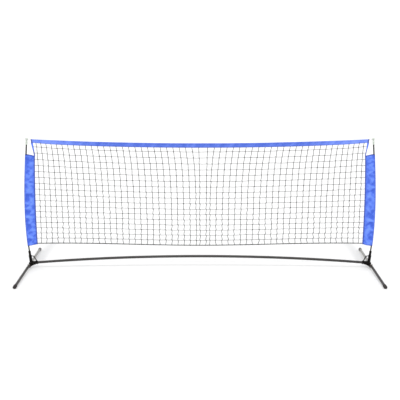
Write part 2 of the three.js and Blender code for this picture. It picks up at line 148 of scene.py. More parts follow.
key_data = bpy.data.lights.new("studio_key", "SUN")
key_data.energy = KEY_STRENGTH
key_data.angle = math.radians(6)
key_light = add_object("studio_key", key_data)
key_light.rotation_euler = Vector(KEY_DIRECTION).to_track_quat("-Z", "Y").to_euler()
print("a sky of", SKY_STRENGTH, "and a key light of", KEY_STRENGTH)

# %% [markdown]
# ## Reading places from the CAD
# Nothing below is placed by eye. A CAD rod is made of rings of points, so the middle of each ring
# gives a point on the rod's axis, and a smooth curve through those points is the line that the fine
# version follows. Band and sleeve give their edges in the same way.

# %% Lines through the CAD
def cad_points(node):
    return np.array([tuple(v.co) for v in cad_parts[node].data.vertices])


def rings(points, axis, apart=6 * MM):
    """Groups of points that lie close together along an axis, in order."""
    points = points[np.argsort(points[:, axis])]
    return np.split(points, np.flatnonzero(np.diff(points[:, axis]) > apart) + 1)


def ring_middles(node, axis):
    return np.array([(r.min(0) + r.max(0)) / 2 for r in rings(cad_points(node), axis)])


def smooth_line(points, per_span=12):
    """A Catmull-Rom curve through the points."""
    points = np.asarray(points, float)
    ends = [2 * points[0] - points[1], *points, 2 * points[-1] - points[-2]]
    line = []
    for a, b, c, d in zip(ends, ends[1:], ends[2:], ends[3:]):
        for t in np.arange(per_span) / per_span:
            line.append(
                0.5 * (2 * b + (c - a) * t + (2 * a - 5 * b + 4 * c - d) * t * t
                       + (3 * b - a - 3 * c + d) * t ** 3)
            )
    return np.array([*line, points[-1]])


def reader(line, along, across):
    """A function that reads one coordinate of a line where another has a value."""
    return lambda where: np.interp(where, line[:, along], line[:, across])


pole_line = smooth_line(
    np.vstack([ring_middles("pole_lower_right", 2), ring_middles("pole_upper_right", 2)[1:]])
)
pole_x = reader(pole_line, 2, 0)
base_ends = [ring_middles(f"base_tube_{part}", 0) for part in ("left", "right")]
base_middle = ring_middles("base_tube_middle", 0)
base_middle = base_middle[np.abs(base_middle[:, 0]) < base_ends[1][0][0] - 5 * MM]
base_line = smooth_line(np.vstack([base_ends[0], base_middle, base_ends[1]]))
cord_line = smooth_line(ring_middles("bottom_cord", 0))
cord_z = reader(cord_line, 0, 2)
print("pole foot and tip:", pole_line[0].round(3), pole_line[-1].round(3))

# %% Edges of the band and of the sleeve
def skin_edges(node, axis, across, least):
    """For each station along an axis, the low and high edge of a plate's flat side, where they
    are further apart than least."""
    points = cad_points(node)
    skin = points[points[:, 1] > points[:, 1].max() - 0.1 * MM]
    rows = [(r[:, axis].mean(), r[:, across].min(), r[:, across].max())
            for r in rings(skin, axis, 0.5 * MM)]
    return np.array([row for row in rows if row[2] - row[1] > least])


band_rows = skin_edges("top_band", 0, 2, 20 * MM)
band_low = reader(smooth_line(band_rows), 0, 1)
band_top = reader(smooth_line(band_rows), 0, 2)
band_end = band_rows[-1][0]
print("band: half length", round(band_end, 3), "mid height", round(float(band_top(0)), 3))


PANEL_HALF, POCKET_START_X = 1.2 * MM, 1.43


def sleeve_inner_line():
    """The sleeve's inner edge: points that stand alone on the panel's flat side."""
    points = cad_points("side_sleeve_right")
    panel = points[np.abs(np.abs(points[:, 1]) - PANEL_HALF) < 0.05 * MM]
    edge = np.array([r[r[:, 0].argmin()] for r in rings(panel, 2, 1.5 * MM)])
    return edge[edge[:, 0] < POCKET_START_X]


inner_line = smooth_line(sleeve_inner_line() * (1, 0, 1))
sleeve_x = reader(inner_line, 2, 0)
inner_low, inner_top = inner_line[0][2], inner_line[-1][2]
outer_low, outer_top = (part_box("side_sleeve_right")[i].z for i in (0, 1))
print("sleeve inner edge: X", inner_line[0][0].round(3), "to", inner_line[-1][0].round(3))

# %% [markdown]
# ## Materials
# Every finish is a small tree of nodes: patterns give the colour some life, a roughness that
# varies, and a bump for the fine relief. Patterns on tubes and cloth use the UV map, which is in
# metres here, so a weave has its true size. A value that is the same everywhere is set on the
# shader itself.

# %% Node helpers
def add(tree, kind, settings=None, **inputs):
    """Adds a node. An input is a value or another node's socket; its name uses _ for a space."""
    node = tree.nodes.new("ShaderNode" + kind)
    for name, value in (settings or {}).items():
        setattr(node, name, value)
    for name, value in inputs.items():
        socket = node.inputs[name.replace("_", " ")]
        if isinstance(value, bpy.types.NodeSocket):
            tree.links.new(value, socket)
        else:
            socket.default_value = value
    return node


def maths(tree, operation, *values):
    node = tree.nodes.new("ShaderNodeMath")
    node.operation = operation
    for socket, value in zip(node.inputs, values):
        if isinstance(value, bpy.types.NodeSocket):
            tree.links.new(value, socket)
        else:
            socket.default_value = value
    return node.outputs[0]


def new_finish(name, **sockets):
    """A material with its constants on the shader. Returns the material, its tree and shader."""
    material = bpy.data.materials.new(name)
    material.use_nodes = True
    tree = material.node_tree
    shader = tree.nodes["Principled BSDF"]
    for key, value in sockets.items():
        shader.inputs[key.replace("_", " ")].default_value = value
    return material, tree, shader


def surface_coords(tree, use_uv, stretch=(1, 1, 1), turn=0.0):
    """Coordinates in metres, stretched so that one unit is one repeat of a pattern."""
    coords = add(tree, "TexCoord").outputs["UV" if use_uv else "Object"]
    if turn:
        coords = add(tree, "Mapping", Vector=coords, Rotation=(0, 0, turn)).outputs[0]
    return add(tree, "Mapping", Vector=coords, Scale=stretch).outputs[0]


def cloudy(tree, coords, scale, detail=3.0):
    return add(tree, "TexNoise", Vector=coords, Scale=scale, Detail=detail).outputs[0]


def blend_colours(tree, factor, first, second):
    """Two colours, from first where factor is 0 to second where it is 1."""
    ramp = add(tree, "ValToRGB", Fac=factor)
    for stop, colour in zip(ramp.color_ramp.elements, (first, second)):
        stop.color = (*colour, 1)
    ramp.color_ramp.elements[0].position = 0.3
    ramp.color_ramp.elements[1].position = 0.7
    return ramp.outputs[0]


def spread(tree, factor, low, high):
    """Stretches a pattern's values so that they run between low and high."""
    return add(tree, "MapRange", Value=factor, From_Min=0.3, From_Max=0.7,
               To_Min=low, To_Max=high).outputs[0]


def relief(tree, shader, height, depth, strength=1.0, under=None):
    bump = add(tree, "Bump", Height=height, Distance=depth, Strength=strength)
    if under is not None:
        tree.links.new(under, bump.inputs["Normal"])
    tree.links.new(bump.outputs[0], shader.inputs["Normal"])
    return bump.outputs[0]


print("helpers for patterns, colours, roughness and relief are ready")

# %% [markdown]
# ### Steel, mouldings and rods
# The base and legs are steel tube with a dark satin paint. Drawn tube keeps faint lines along its
# length under the paint, so its noise is stretched along the tube. The mouldings are black nylon,
# which has a fine spark-eroded grain. The poles are pultruded glass fibre: long fibres show as
# streaks under a thin gloss.

# %% Hard finishes
def painted_steel(name, dark, light, rough):
    material, tree, shader = new_finish(name, Metallic=0.35, Coat_Weight=0.25, Coat_Roughness=0.3)
    drawn = cloudy(tree, surface_coords(tree, True, (260, 5, 1)), 1.0, 4)
    patches = cloudy(tree, surface_coords(tree, True, (30, 9, 1)), 1.0, 2)
    streaks = maths(tree, "MULTIPLY_ADD", drawn, 0.6, maths(tree, "MULTIPLY", patches, 0.4))
    tree.links.new(blend_colours(tree, streaks, dark, light), shader.inputs["Base Color"])
    tree.links.new(spread(tree, patches, rough - 0.07, rough + 0.09), shader.inputs["Roughness"])
    peel = cloudy(tree, surface_coords(tree, True, (900, 900, 1)), 1.0, 1)
    orange_peel = relief(tree, shader, peel, 0.04 * MM, 0.5)
    relief(tree, shader, drawn, 0.03 * MM, 0.5, orange_peel)
    return material


def moulded_nylon(name, dark, light, rough, shine=0.2, grain=1400):
    material, tree, shader = new_finish(name, Specular_IOR_Level=shine)
    coords = surface_coords(tree, False)
    flow = cloudy(tree, coords, 28, 3)
    tree.links.new(blend_colours(tree, flow, dark, light), shader.inputs["Base Color"])
    tree.links.new(spread(tree, flow, rough - 0.06, rough + 0.08), shader.inputs["Roughness"])
    relief(tree, shader, cloudy(tree, coords, grain, 2), 0.06 * MM, 0.6)
    return material


def glass_fibre(name):
    material, tree, shader = new_finish(name, Coat_Weight=0.2, Coat_Roughness=0.25,
                                        Specular_IOR_Level=0.3)
    fibres = cloudy(tree, surface_coords(tree, True, (1800, 12, 1)), 1.0, 3)
    resin = cloudy(tree, surface_coords(tree, True, (60, 14, 1)), 1.0, 2)
    mixed = maths(tree, "MULTIPLY_ADD", fibres, 0.7, maths(tree, "MULTIPLY", resin, 0.3))
    colour = blend_colours(tree, mixed, (0.0025, 0.0022, 0.0015), (0.010, 0.0095, 0.0065))
    tree.links.new(colour, shader.inputs["Base Color"])
    tree.links.new(spread(tree, resin, 0.34, 0.5), shader.inputs["Roughness"])
    relief(tree, shader, fibres, 0.03 * MM, 0.6)
    return material


def zinc_plate(name):
    material, tree, shader = new_finish(name, Metallic=1.0)
    coords = surface_coords(tree, False)
    bloom = cloudy(tree, coords, 220, 4)
    colour = blend_colours(tree, bloom, (0.42, 0.41, 0.38), (0.66, 0.66, 0.64))
    tree.links.new(colour, shader.inputs["Base Color"])
    tree.links.new(spread(tree, bloom, 0.24, 0.46), shader.inputs["Roughness"])
    relief(tree, shader, cloudy(tree, coords, 1600, 2), 0.02 * MM, 0.5)
    return material


def milky_plastic(name):
    material, tree, shader = new_finish(
        name, Subsurface_Weight=0.35, Subsurface_Radius=(0.004, 0.004, 0.004),
        Transmission_Weight=0.12, Specular_IOR_Level=0.4,
    )
    coords = surface_coords(tree, False)
    haze = cloudy(tree, coords, 90, 3)
    colour = blend_colours(tree, haze, (0.50, 0.56, 0.49), (0.68, 0.73, 0.66))
    tree.links.new(colour, shader.inputs["Base Color"])
    tree.links.new(spread(tree, haze, 0.3, 0.45), shader.inputs["Roughness"])
    relief(tree, shader, cloudy(tree, coords, 900, 2), 0.03 * MM, 0.5)
    return material


base_paint = painted_steel("base_paint", (0.014, 0.012, 0.011), (0.036, 0.032, 0.030), 0.5)
leg_paint = painted_steel("leg_paint", (0.024, 0.020, 0.018), (0.056, 0.049, 0.045), 0.48)
# Paler copies of the leg paint and foot rubber for the rear legs and feet: a painted reflection of
# the bright surroundings.
rear_painted_reflection_paint = painted_steel("pale_leg_paint", (0.24, 0.235, 0.22), (0.37, 0.365, 0.345), 0.46)
black_nylon = moulded_nylon("black_nylon", (0.0015, 0.001, 0.0008), (0.005, 0.004, 0.003), 0.6,
                            0.1)
socket_nylon = moulded_nylon("socket_nylon", (0.003, 0.0025, 0.002), (0.009, 0.007, 0.006), 0.5,
                             0.15)
knuckle_nylon = moulded_nylon("knuckle_nylon", (0.042, 0.032, 0.028), (0.080, 0.064, 0.057), 0.5)
thimble_rubber = moulded_nylon("thimble_rubber", (0.020, 0.017, 0.017), (0.042, 0.037, 0.036),
                               0.6)
painted_reflection_rubber = moulded_nylon("painted_reflection_rubber", (0.17, 0.155, 0.158), (0.26, 0.245, 0.25), 0.6)
rod_resin = glass_fibre("rod_resin")
zinc = zinc_plate("zinc")
cap_plastic = milky_plastic("cap_plastic")
print("hard finishes:", [m.name for m in bpy.data.materials])

# %% [markdown]
# ### Cloth and cord
# Sleeve and band are a plain-woven polyester with a satin shine. Two waves crossed at right angles
# give the weave, with a thread every half millimetre; a larger slanted noise gives soft crease
# bumps and, in the colour, a painted highlight where it is high. One mesh value adds painted light
# and shade along the creases; another darkens seams and hems, and adds painted shade on the pole
# pocket and the twisted tape. Cords are braided, which shows as two slanted waves.

# %% Soft finishes
def woven(name, dark, light, sheen, thread=0.55 * MM):
    material, tree, shader = new_finish(
        name, Sheen_Weight=sheen, Sheen_Roughness=0.35, Sheen_Tint=(0.75, 0.82, 1, 1),
        Specular_IOR_Level=0.3,
    )
    across = surface_coords(tree, True, (1 / thread, 1 / thread, 1))
    waves = [
        add(tree, "TexWave", {"bands_direction": way}, Vector=across, Scale=0.5,
            Distortion=0.6, Detail=1.0).outputs["Fac"]
        for way in ("X", "Y")
    ]
    weave = maths(tree, "MULTIPLY", *waves)
    # Slanted noise: a soft bump for creases, and in the colour a painted highlight where it is
    # high.
    creased = cloudy(tree, surface_coords(tree, True, (34, 22, 1), 0.5), 1.0, 4)
    # A mesh value of painted light and shade: where it is high the cloth is painted lighter, where
    # it is low darker.
    painted_crease_shading = add(tree, "Attribute", {"attribute_name": "painted_crease_shade"}).outputs["Fac"]
    crease_painted_light_and_shade = maths(tree, "MULTIPLY_ADD", creased, 0.35, maths(tree, "MULTIPLY", painted_crease_shading, 0.55))
    shade = maths(tree, "MULTIPLY_ADD", weave, 0.2, crease_painted_light_and_shade)
    # The seam value darkens the cloth: real seams and hems, and painted shade on the pole pocket
    # and the twisted tape.
    sewn = add(tree, "Attribute", {"attribute_name": "seam_and_painted_shade"}).outputs["Fac"]
    colour = add(tree, "MixRGB", {"blend_type": "MULTIPLY"}, Fac=sewn, Color2=(0.34, 0.33, 0.50, 1),
                 Color1=blend_colours(tree, shade, dark, light)).outputs[0]
    tree.links.new(colour, shader.inputs["Base Color"])
    tree.links.new(spread(tree, creased, 0.5, 0.66), shader.inputs["Roughness"])
    soft = relief(tree, shader, creased, 0.5 * MM, 0.5)
    relief(tree, shader, weave, 0.12 * MM, 0.6, soft)
    return material


def braided(name, dark, light, pitch, rough=0.8, sheen=0.15):
    """pitch is how far along the cord one strand goes before it repeats."""
    material, tree, shader = new_finish(name, Specular_IOR_Level=0.15, Sheen_Weight=sheen)
    slants = [
        add(tree, "TexWave", {"bands_direction": "DIAGONAL"}, Scale=0.5,
            Vector=surface_coords(tree, True, (way / pitch, 1 / pitch, 0))).outputs["Fac"]
        for way in (1, -1)
    ]
    strands = maths(tree, "MAXIMUM", *slants)
    fuzz = cloudy(tree, surface_coords(tree, True, (900, 250, 1)), 1.0, 2)
    shade = maths(tree, "MULTIPLY_ADD", strands, 0.5, maths(tree, "MULTIPLY", fuzz, 0.5))
    tree.links.new(blend_colours(tree, shade, dark, light), shader.inputs["Base Color"])
    tree.links.new(spread(tree, fuzz, rough - 0.08, rough + 0.08), shader.inputs["Roughness"])
    relief(tree, shader, shade, 0.25 * MM, 0.8)
    return material


blue_cloth = woven("blue_cloth", (0.040, 0.105, 0.60), (0.165, 0.300, 0.96), 0.2)
band_cloth = woven("band_cloth", (0.060, 0.125, 0.58), (0.210, 0.320, 0.92), 0.15)
seam_cloth = woven("seam_cloth", (0.028, 0.055, 0.30), (0.060, 0.100, 0.44), 0.1)
navy_thread = braided("navy_thread", (0.010, 0.014, 0.075), (0.03, 0.04, 0.16), 1.2 * MM)
net_twine = braided("net_twine", (0.002, 0.0015, 0.0015), (0.008, 0.007, 0.007), 2.4 * MM, 0.9,
                    0.02)
black_cord = braided("black_cord", (0.002, 0.002, 0.002), (0.012, 0.011, 0.011), 4 * MM, 0.9,
                     0.03)
braided_white = braided("braided_white", (0.52, 0.53, 0.52), (0.80, 0.81, 0.80), 3 * MM)
print("soft finishes:", [m.name for m in bpy.data.materials][-7:])

# %% [markdown]
# ## Turned pieces
# Tubes, caps, bolts and cords are all rings round a line. One helper makes them: it takes the line
# and a profile of pairs, how far along the line and how wide. A profile that turns back on itself
# gives a tube with a wall and a rolled end.

# %% Rings round a line
def line_frames(line, side):
    """Unit tangents of a line, and two directions across it. side is kept where it can be."""
    ahead = np.gradient(line, axis=0)
    ahead /= np.linalg.norm(ahead, axis=1)[:, None]
    first = side - ahead * (ahead @ side)[:, None]
    first /= np.linalg.norm(first, axis=1)[:, None]
    return ahead, first, np.cross(ahead, first)


def filled_in(profile, step):
    """The profile with points added, so that none are further apart than step."""
    profile = np.asarray(profile, float)
    rows = [profile[:1]]
    for a, b in zip(profile, profile[1:]):
        parts = max(1, math.ceil(abs(b[0] - a[0]) / step))
        rows.append(a + (b - a) * np.arange(1, parts + 1)[:, None] / parts)
    return np.vstack(rows)


def run_along(line):
    """How far along a line each of its points is."""
    return np.concatenate([[0], np.cumsum(np.linalg.norm(np.diff(line, axis=0), axis=1))])


def circles(sides, first, second):
    """For each pair of directions, a circle of unit vectors."""
    angle = 2 * np.pi * np.arange(sides) / sides
    return np.cos(angle)[None, :, None] * first[:, None] \
        + np.sin(angle)[None, :, None] * second[:, None]


def round_uvs(faces, sides, radius, down):
    """UVs in metres for quads round a line. The last quad of a ring ends at sides, not at 0."""
    rows, columns = np.divmod(faces, sides)
    columns = np.where((columns == 0) & (np.arange(4) % 3 != 0), sides, columns)
    return np.stack([columns * 2 * np.pi * radius / sides, down[rows]], 2).reshape(-1, 2)


def turned_along(name, line, profile, sides=32, side=(0, 1, 0), shape=None, step=20 * MM):
    """A surface of rings. shape, if given, scales a ring's radius by angle and place."""
    line = np.asarray(line, float)
    profile = filled_in(profile, step)
    ahead, first, second = line_frames(line, np.asarray(side, float))
    along = run_along(line)
    place, radius = profile.T
    at = lambda values: np.stack([np.interp(place, along, v) for v in values.T], 1)
    inside = np.clip(place, 0, along[-1])
    centre = at(line) + at(ahead) * (place - inside)[:, None]
    ring = circles(sides, at(first), at(second))
    angle = 2 * np.pi * np.arange(sides) / sides
    wide = radius[:, None] * (shape(angle[None, :], place[:, None]) if shape else 1)
    verts = centre[:, None] + ring * np.broadcast_to(wide, (len(place), sides))[..., None]
    faces = grid_faces(len(place), sides, wrap=True)
    steps = np.hypot(np.diff(place), np.diff(radius))
    uvs = round_uvs(faces, sides, radius.max(), np.concatenate([[0], np.cumsum(steps)]))
    faces = faces.tolist()
    if not np.allclose(verts[0], verts[-1], atol=1e-7):
        for ring_start in (0, (len(place) - 1) * sides):
            if np.ptp(verts.reshape(-1, 3)[ring_start:ring_start + sides], 0).max() > 1e-6:
                faces.append([ring_start + i for i in range(sides)])
                uvs = np.vstack([uvs, np.zeros((sides, 2))])
    return weld(mesh_object(name, verts.reshape(-1, 3), faces, uvs))


def weld(obj, distance=0.002 * MM):
    """Joins points that lie on each other, and turns every face outward."""
    work = bmesh.new()
    work.from_mesh(obj.data)
    bmesh.ops.remove_doubles(work, verts=work.verts, dist=distance)
    bmesh.ops.recalc_face_normals(work, faces=work.faces)
    work.to_mesh(obj.data)
    work.free()
    return obj


def crease(obj, degrees=38):
    """Edges sharper than this stay sharp, and the rest look smooth."""
    obj.data.set_sharp_from_angle(angle=math.radians(degrees))
    return obj


def fit(obj, material, body, slot, *nodes):
    """Gives a piece its finish and its body, and hides the CAD nodes that it stands for. slot is
    not used.
    """
    obj.data.materials.clear()
    obj.data.materials.append(material)
    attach(obj, body)
    if nodes:
        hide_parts(*nodes)
    return obj


def arc(centre, radius, start, end, steps=6):
    """Points of a quarter round for a profile, as place and radius pairs. Angles in degrees."""
    return [
        (centre[0] + radius * math.cos(a), centre[1] + radius * math.sin(a))
        for a in np.radians(np.linspace(start, end, steps))
    ]


def between(line, start, end, axis, points=160):
    """The part of a line between two values of one coordinate."""
    where = np.linspace(start, end, points)
    return np.stack([np.interp(where, line[:, axis], line[:, i]) for i in range(3)], 1)


print("a 50 mm tube has", len(filled_in([(0, 1), (50 * MM, 1)], 20 * MM)), "rings at 20 mm steps")

# %% [markdown]
# ## The base bar
# Three steel tubes push into each other and bow upward a little. A drawn tube has a wall that
# shows at the open end and an edge rounded by the saw and the tumbler, so the profile goes down the
# outside, over a small radius, and back along the bore. The middle tube also has the two narrower
# spigots that its neighbours slide over.

# %% Base tubes
TUBE_R, BORE_R, EDGE = 11 * MM, 10 * MM, 0.7 * MM


def tube_profile(length, outer=TUBE_R, bore=BORE_R, edge=EDGE):
    near = arc((edge, outer - edge), edge, 180, 90)
    far = arc((length - edge, outer - edge), edge, 90, 0)
    return [(0, bore), *near, *far, (length, bore), (0, bore)]


def measured(line):
    return float(np.linalg.norm(np.diff(line, axis=0), axis=1).sum())


for side_name, rings_here in zip(("left", "right"), base_ends):
    line = between(base_line, rings_here[0][0], rings_here[-1][0], 0)
    tube = turned_along(f"base_bar_{side_name}", line, tube_profile(measured(line)), 48)
    fit(crease(tube), base_paint, "frame", "base_steel", f"base_tube_{side_name}")
    print(tube.name, "is", round(measured(line), 3), "m long")

joint_x = base_ends[1][0][0] - 0.3 * MM
spigot, spigot_r = 60 * MM, 9.5 * MM
line = between(base_line, -joint_x - spigot, joint_x + spigot, 0)
length = measured(line)
outside = tube_profile(length - 2 * spigot, TUBE_R, spigot_r)[:-1]
middle_profile = [(0, spigot_r - MM), (0, spigot_r - 0.6 * MM), (0.6 * MM, spigot_r)]
middle_profile += [(s + spigot, r) for s, r in outside]
middle_profile += [(length - 0.6 * MM, spigot_r), (length, spigot_r - 0.6 * MM),
                   (length, spigot_r - MM), (0, spigot_r - MM)]
tube = turned_along("base_bar_middle", line, middle_profile, 48)
fit(crease(tube), base_paint, "frame", "base_steel", "base_tube_middle")
print(tube.name, "is", round(length, 3), "m long with its spigots")

# %% [markdown]
# ## Moulded pieces
# A nylon moulding has a radius on every edge, inside and out, where the mould was cut. That is
# tedious to model by hand. Here simple solids are laid over each other, bores are cut with a
# boolean, and a voxel remesh followed by a smooth melts them into one skin with soft edges.

# %% Solids, and the melt
def prism(outline, low, high, upright=False):
    """A flat outline pushed from low to high: along Z, or along Y if it is upright in X and Z."""
    outline = np.asarray(outline, float)
    count = len(outline)
    levels = [np.full(count, level) for level in (low, high)]
    if upright:
        verts = np.vstack([np.column_stack([outline[:, 0], y, outline[:, 1]]) for y in levels])
    else:
        verts = np.vstack([np.column_stack([outline, z]) for z in levels])
    ahead = [(i + 1) % count for i in range(count)]
    walls = [[i, j, count + j, count + i] for i, j in enumerate(ahead)]
    return verts, [list(range(count)), list(range(count, 2 * count)), *walls]


def rod(start, end, radius, sides=56):
    """A closed round rod from one point to another."""
    start, end = Vector(start), Vector(end)
    turn = (end - start).to_track_quat("Z", "Y").to_matrix()
    ring = [Vector((radius * math.cos(a), radius * math.sin(a), 0))
            for a in np.linspace(0, 2 * math.pi, sides, endpoint=False)]
    verts = [tuple(place + turn @ p) for place in (start, end) for p in ring]
    walls = [[i, (i + 1) % sides, sides + (i + 1) % sides, sides + i] for i in range(sides)]
    return verts, [list(range(sides)), list(range(sides, 2 * sides)), *walls]


def together(name, solids):
    verts, faces = [], []
    for points, loops in solids:
        faces += [[i + len(verts) for i in loop] for loop in loops]
        verts += [tuple(p) for p in points]
    return weld(mesh_object(name, verts, faces))


def settled(obj):
    """The object with its modifiers made permanent."""
    graph = bpy.context.evaluated_depsgraph_get()
    mesh = bpy.data.meshes.new_from_object(obj.evaluated_get(graph))
    obj.modifiers.clear()
    obj.data = mesh
    mesh.polygons.foreach_set("use_smooth", np.ones(len(mesh.polygons), bool))
    return obj


def moulded(name, added, cut, voxel=0.9 * MM, soften=5):
    body = together(name, added)
    joined = body.modifiers.new("joined", "REMESH")
    joined.mode, joined.voxel_size = "VOXEL", voxel
    cutter = together(name + "_cutter", cut)
    bores = body.modifiers.new("bores", "BOOLEAN")
    bores.operation, bores.object, bores.solver = "DIFFERENCE", cutter, "EXACT"
    skin = body.modifiers.new("skin", "REMESH")
    skin.mode, skin.voxel_size = "VOXEL", voxel
    soft = body.modifiers.new("soft", "SMOOTH")
    soft.factor, soft.iterations = 0.5, soften
    settled(body)
    bpy.data.objects.remove(cutter)
    return body


def placed(name, source, matrix):
    """A copy of a piece with its points moved to another place."""
    mesh = source.data.copy()
    mesh.transform(matrix)
    return add_object(name, mesh)


HALF_TURN = Matrix.Rotation(math.pi, 4, "Z")
print("a closed rod has", len(rod((0, 0, 0), (0, 0, 1), 1)[1]), "faces")

# %% [markdown]
# ## The hub
# The hub is one black moulding that holds everything at an end of the net: a barrel for the base
# bar, a leaning boss for the pole socket, a low ear that both legs turn on, a flank that joins
# them, and an open triangular brace from the barrel up to the boss.

# %% Hub
bolt_low, bolt_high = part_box("pivot_bolt_rear_right")
hub_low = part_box("hub_right")[0]
PIVOT_X = (bolt_low.x + bolt_high.x) / 2
PIVOT_Y = (bolt_low.y + bolt_high.y) / 2
EAR_R, EAR_THICK, KNUCKLE_HALF = 13 * MM, 5.6 * MM, 10.5 * MM
FLANK_HALF, STRUT, STRUT_HALF = 10.5 * MM, 5.5 * MM, 4.5 * MM
BAR_BORE_R, SOCKET_BORE_R, BOLT_HOLE_R = 11.6 * MM, 10.9 * MM, 3.3 * MM
EAR_LOW = hub_low.z
PIVOT_Z = EAR_LOW + EAR_THICK + 0.3 * MM + KNUCKLE_HALF
MOUTH_X, BARREL_END_X, BARREL_R = hub_low.x, 1.488, 14.4 * MM
FLANK_X, FLANK_TOP, FLANK_BELLY = 1.440, 66 * MM, 40 * MM
KNEE_X, KNEE_Z, BOSS_TOP = 1.454, 116 * MM, 120 * MM
bar_z = reader(np.vstack([base_line, base_line[-1] + 20 * (base_line[-1] - base_line[-2])]), 0, 2)
bar_at = lambda x: (x, 0, float(bar_z(x)))
socket_foot, socket_top = ring_middles("pole_socket_right", 2)[[0, -1]]
socket_slope = (socket_top[0] - socket_foot[0]) / (socket_top[2] - socket_foot[2])
socket_at = lambda z: (socket_foot[0] + socket_slope * (z - socket_foot[2]), 0, z)


def bowed(start, pull, end, steps=8):
    """Points of a curve from start to end that leans towards pull."""
    t = np.linspace(0, 1, steps)[:, None]
    start, pull, end = (np.array(p) for p in (start, pull, end))
    return (1 - t) ** 2 * start + 2 * t * (1 - t) * pull + t * t * end


half_round = [(math.cos(a), math.sin(a)) for a in np.linspace(0, math.pi, 25)]
stadium = [(PIVOT_X + EAR_R * c, PIVOT_Y + EAR_R * s) for c, s in half_round]
stadium += [(PIVOT_X - EAR_R * c, -PIVOT_Y - EAR_R * s) for c, s in half_round]
outer_x, flank_foot = PIVOT_X + EAR_R - 3 * MM, EAR_LOW + 1 * MM
flank = [
    (outer_x, flank_foot), (outer_x, PIVOT_Z), (socket_at(FLANK_TOP)[0] + 10.5 * MM, FLANK_TOP),
    (FLANK_X + 26 * MM, FLANK_TOP), (FLANK_X, FLANK_TOP - 10 * MM),
    *bowed((FLANK_X, FLANK_BELLY), (FLANK_X + 26 * MM, FLANK_BELLY - 5 * MM),
           (PIVOT_X - EAR_R, flank_foot)),
]
mouth_z, boss_x = bar_at(MOUTH_X)[2], socket_at(BOSS_TOP)[0]
brace = [
    (MOUTH_X + 1 * MM, mouth_z + 4 * MM), (KNEE_X, KNEE_Z), (boss_x, BOSS_TOP),
    (boss_x, BOSS_TOP - STRUT), (KNEE_X + STRUT - 1 * MM, KNEE_Z - STRUT),
    (MOUTH_X + 1 * MM + STRUT, mouth_z),
]
hub_solids = [
    prism(stadium, EAR_LOW, EAR_LOW + EAR_THICK),
    prism(flank, -FLANK_HALF, FLANK_HALF, upright=True),
    prism(brace, -STRUT_HALF, STRUT_HALF, upright=True),
    rod(bar_at(MOUTH_X), bar_at(BARREL_END_X), BARREL_R),
    rod(bar_at(MOUTH_X), bar_at(MOUTH_X + 7 * MM), BARREL_R + 1.2 * MM),
    rod(socket_at(0.050), socket_at(BOSS_TOP), 12.9 * MM),
    rod(socket_at(BOSS_TOP - 7 * MM), socket_at(BOSS_TOP), 13.8 * MM),
]
bar_end = base_line[-1][0]
hub_cuts = [
    rod(bar_at(MOUTH_X - 6 * MM), bar_at(bar_end + 0.5 * MM), BAR_BORE_R),
    rod(socket_at(socket_foot[2] - 0.2 * MM), socket_at(0.165), SOCKET_BORE_R),
]
for y in (-PIVOT_Y, PIVOT_Y):
    hub_cuts.append(rod((PIVOT_X, y, EAR_LOW - 9 * MM),
                        (PIVOT_X, y, EAR_LOW + EAR_THICK + 9 * MM), BOLT_HOLE_R))
hub = moulded("hub_moulding_right", hub_solids, hub_cuts)
fit(hub, black_nylon, "frame", "black_moulding", "hub_right")
fit(placed("hub_moulding_left", hub, HALF_TURN), black_nylon, "frame", "black_moulding",
    "hub_left")
print("hub moulding:", len(hub.data.polygons), "faces")

# %% [markdown]
# ## Pole socket, poles and pole cap
# The socket is a plain moulded tube with a rolled lip and shallow grip flutes. The pole is a thin
# sprung rod in two lengths, joined by a metal ferrule under the sleeve. A milky cap on its tip has
# a groove that the head cord's loop drops into.

# %% Poles and their fittings
def for_both_ends(obj, material, slot, node, body="frame"):
    """Fits a right-hand piece, and a copy of it turned half round for the left."""
    left = placed(obj.name.replace("right", "left"), obj, HALF_TURN)
    fit(obj, material, body, slot, *([node + "_right"] if node else []))
    fit(left, material, body, slot, *([node + "_left"] if node else []))
    return left


flutes = lambda angle, place: 1 - 0.028 * np.clip(np.cos(10 * angle), 0, 1) ** 2 \
    * np.clip((place - 26 * MM) / (4 * MM), 0, 1) * np.clip((76 * MM - place) / (4 * MM), 0, 1)
socket_line = np.array([socket_foot, socket_top])
long = measured(socket_line)
socket_profile = [
    (0, 6.4 * MM), (0, 9.6 * MM), (0.8 * MM, 10.4 * MM), (long - 11 * MM, 10.4 * MM),
    (long - 10 * MM, 10.9 * MM), (long - 2.4 * MM, 10.9 * MM),
    *arc((long - 1.6 * MM, 9.2 * MM), 1.6 * MM, 90, 0), (long, 7.2 * MM),
    (long - 0.8 * MM, 6.4 * MM), (0, 6.4 * MM),
]
socket = turned_along("pole_socket_tube_right", socket_line, socket_profile, 80,
                      shape=flutes, step=2.5 * MM)
for_both_ends(crease(socket), socket_nylon, "black_moulding", "pole_socket")

pole_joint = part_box("pole_upper_right")[0].z
pole_r = 6 * MM
rod_profile = lambda length: [
    (0, 0), (0, pole_r - MM), *arc((MM, pole_r - MM), MM, 180, 90),
    *arc((length - MM, pole_r - MM), MM, 90, 0), (length, 0),
]
for name, low, high in (("pole_lower", pole_line[0][2], pole_joint - 0.6 * MM),
                        ("pole_upper", pole_joint, pole_line[-1][2])):
    line = between(pole_line, low, high, 2)
    pole = turned_along(f"{name}_rod_right", line, rod_profile(measured(line)), 28)
    for_both_ends(crease(pole), rod_resin, "glass_fibre_rod", name)
    print(pole.name, "is", round(measured(line), 3), "m long")

low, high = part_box("pole_ferrule_right")
line = between(pole_line, low.z, high.z, 2)
ferrule = turned_along("ferrule_right", line,
                       tube_profile(measured(line), 7.2 * MM, 6.3 * MM, 0.4 * MM))
for_both_ends(crease(ferrule), zinc, "zinc_plate", "pole_ferrule")

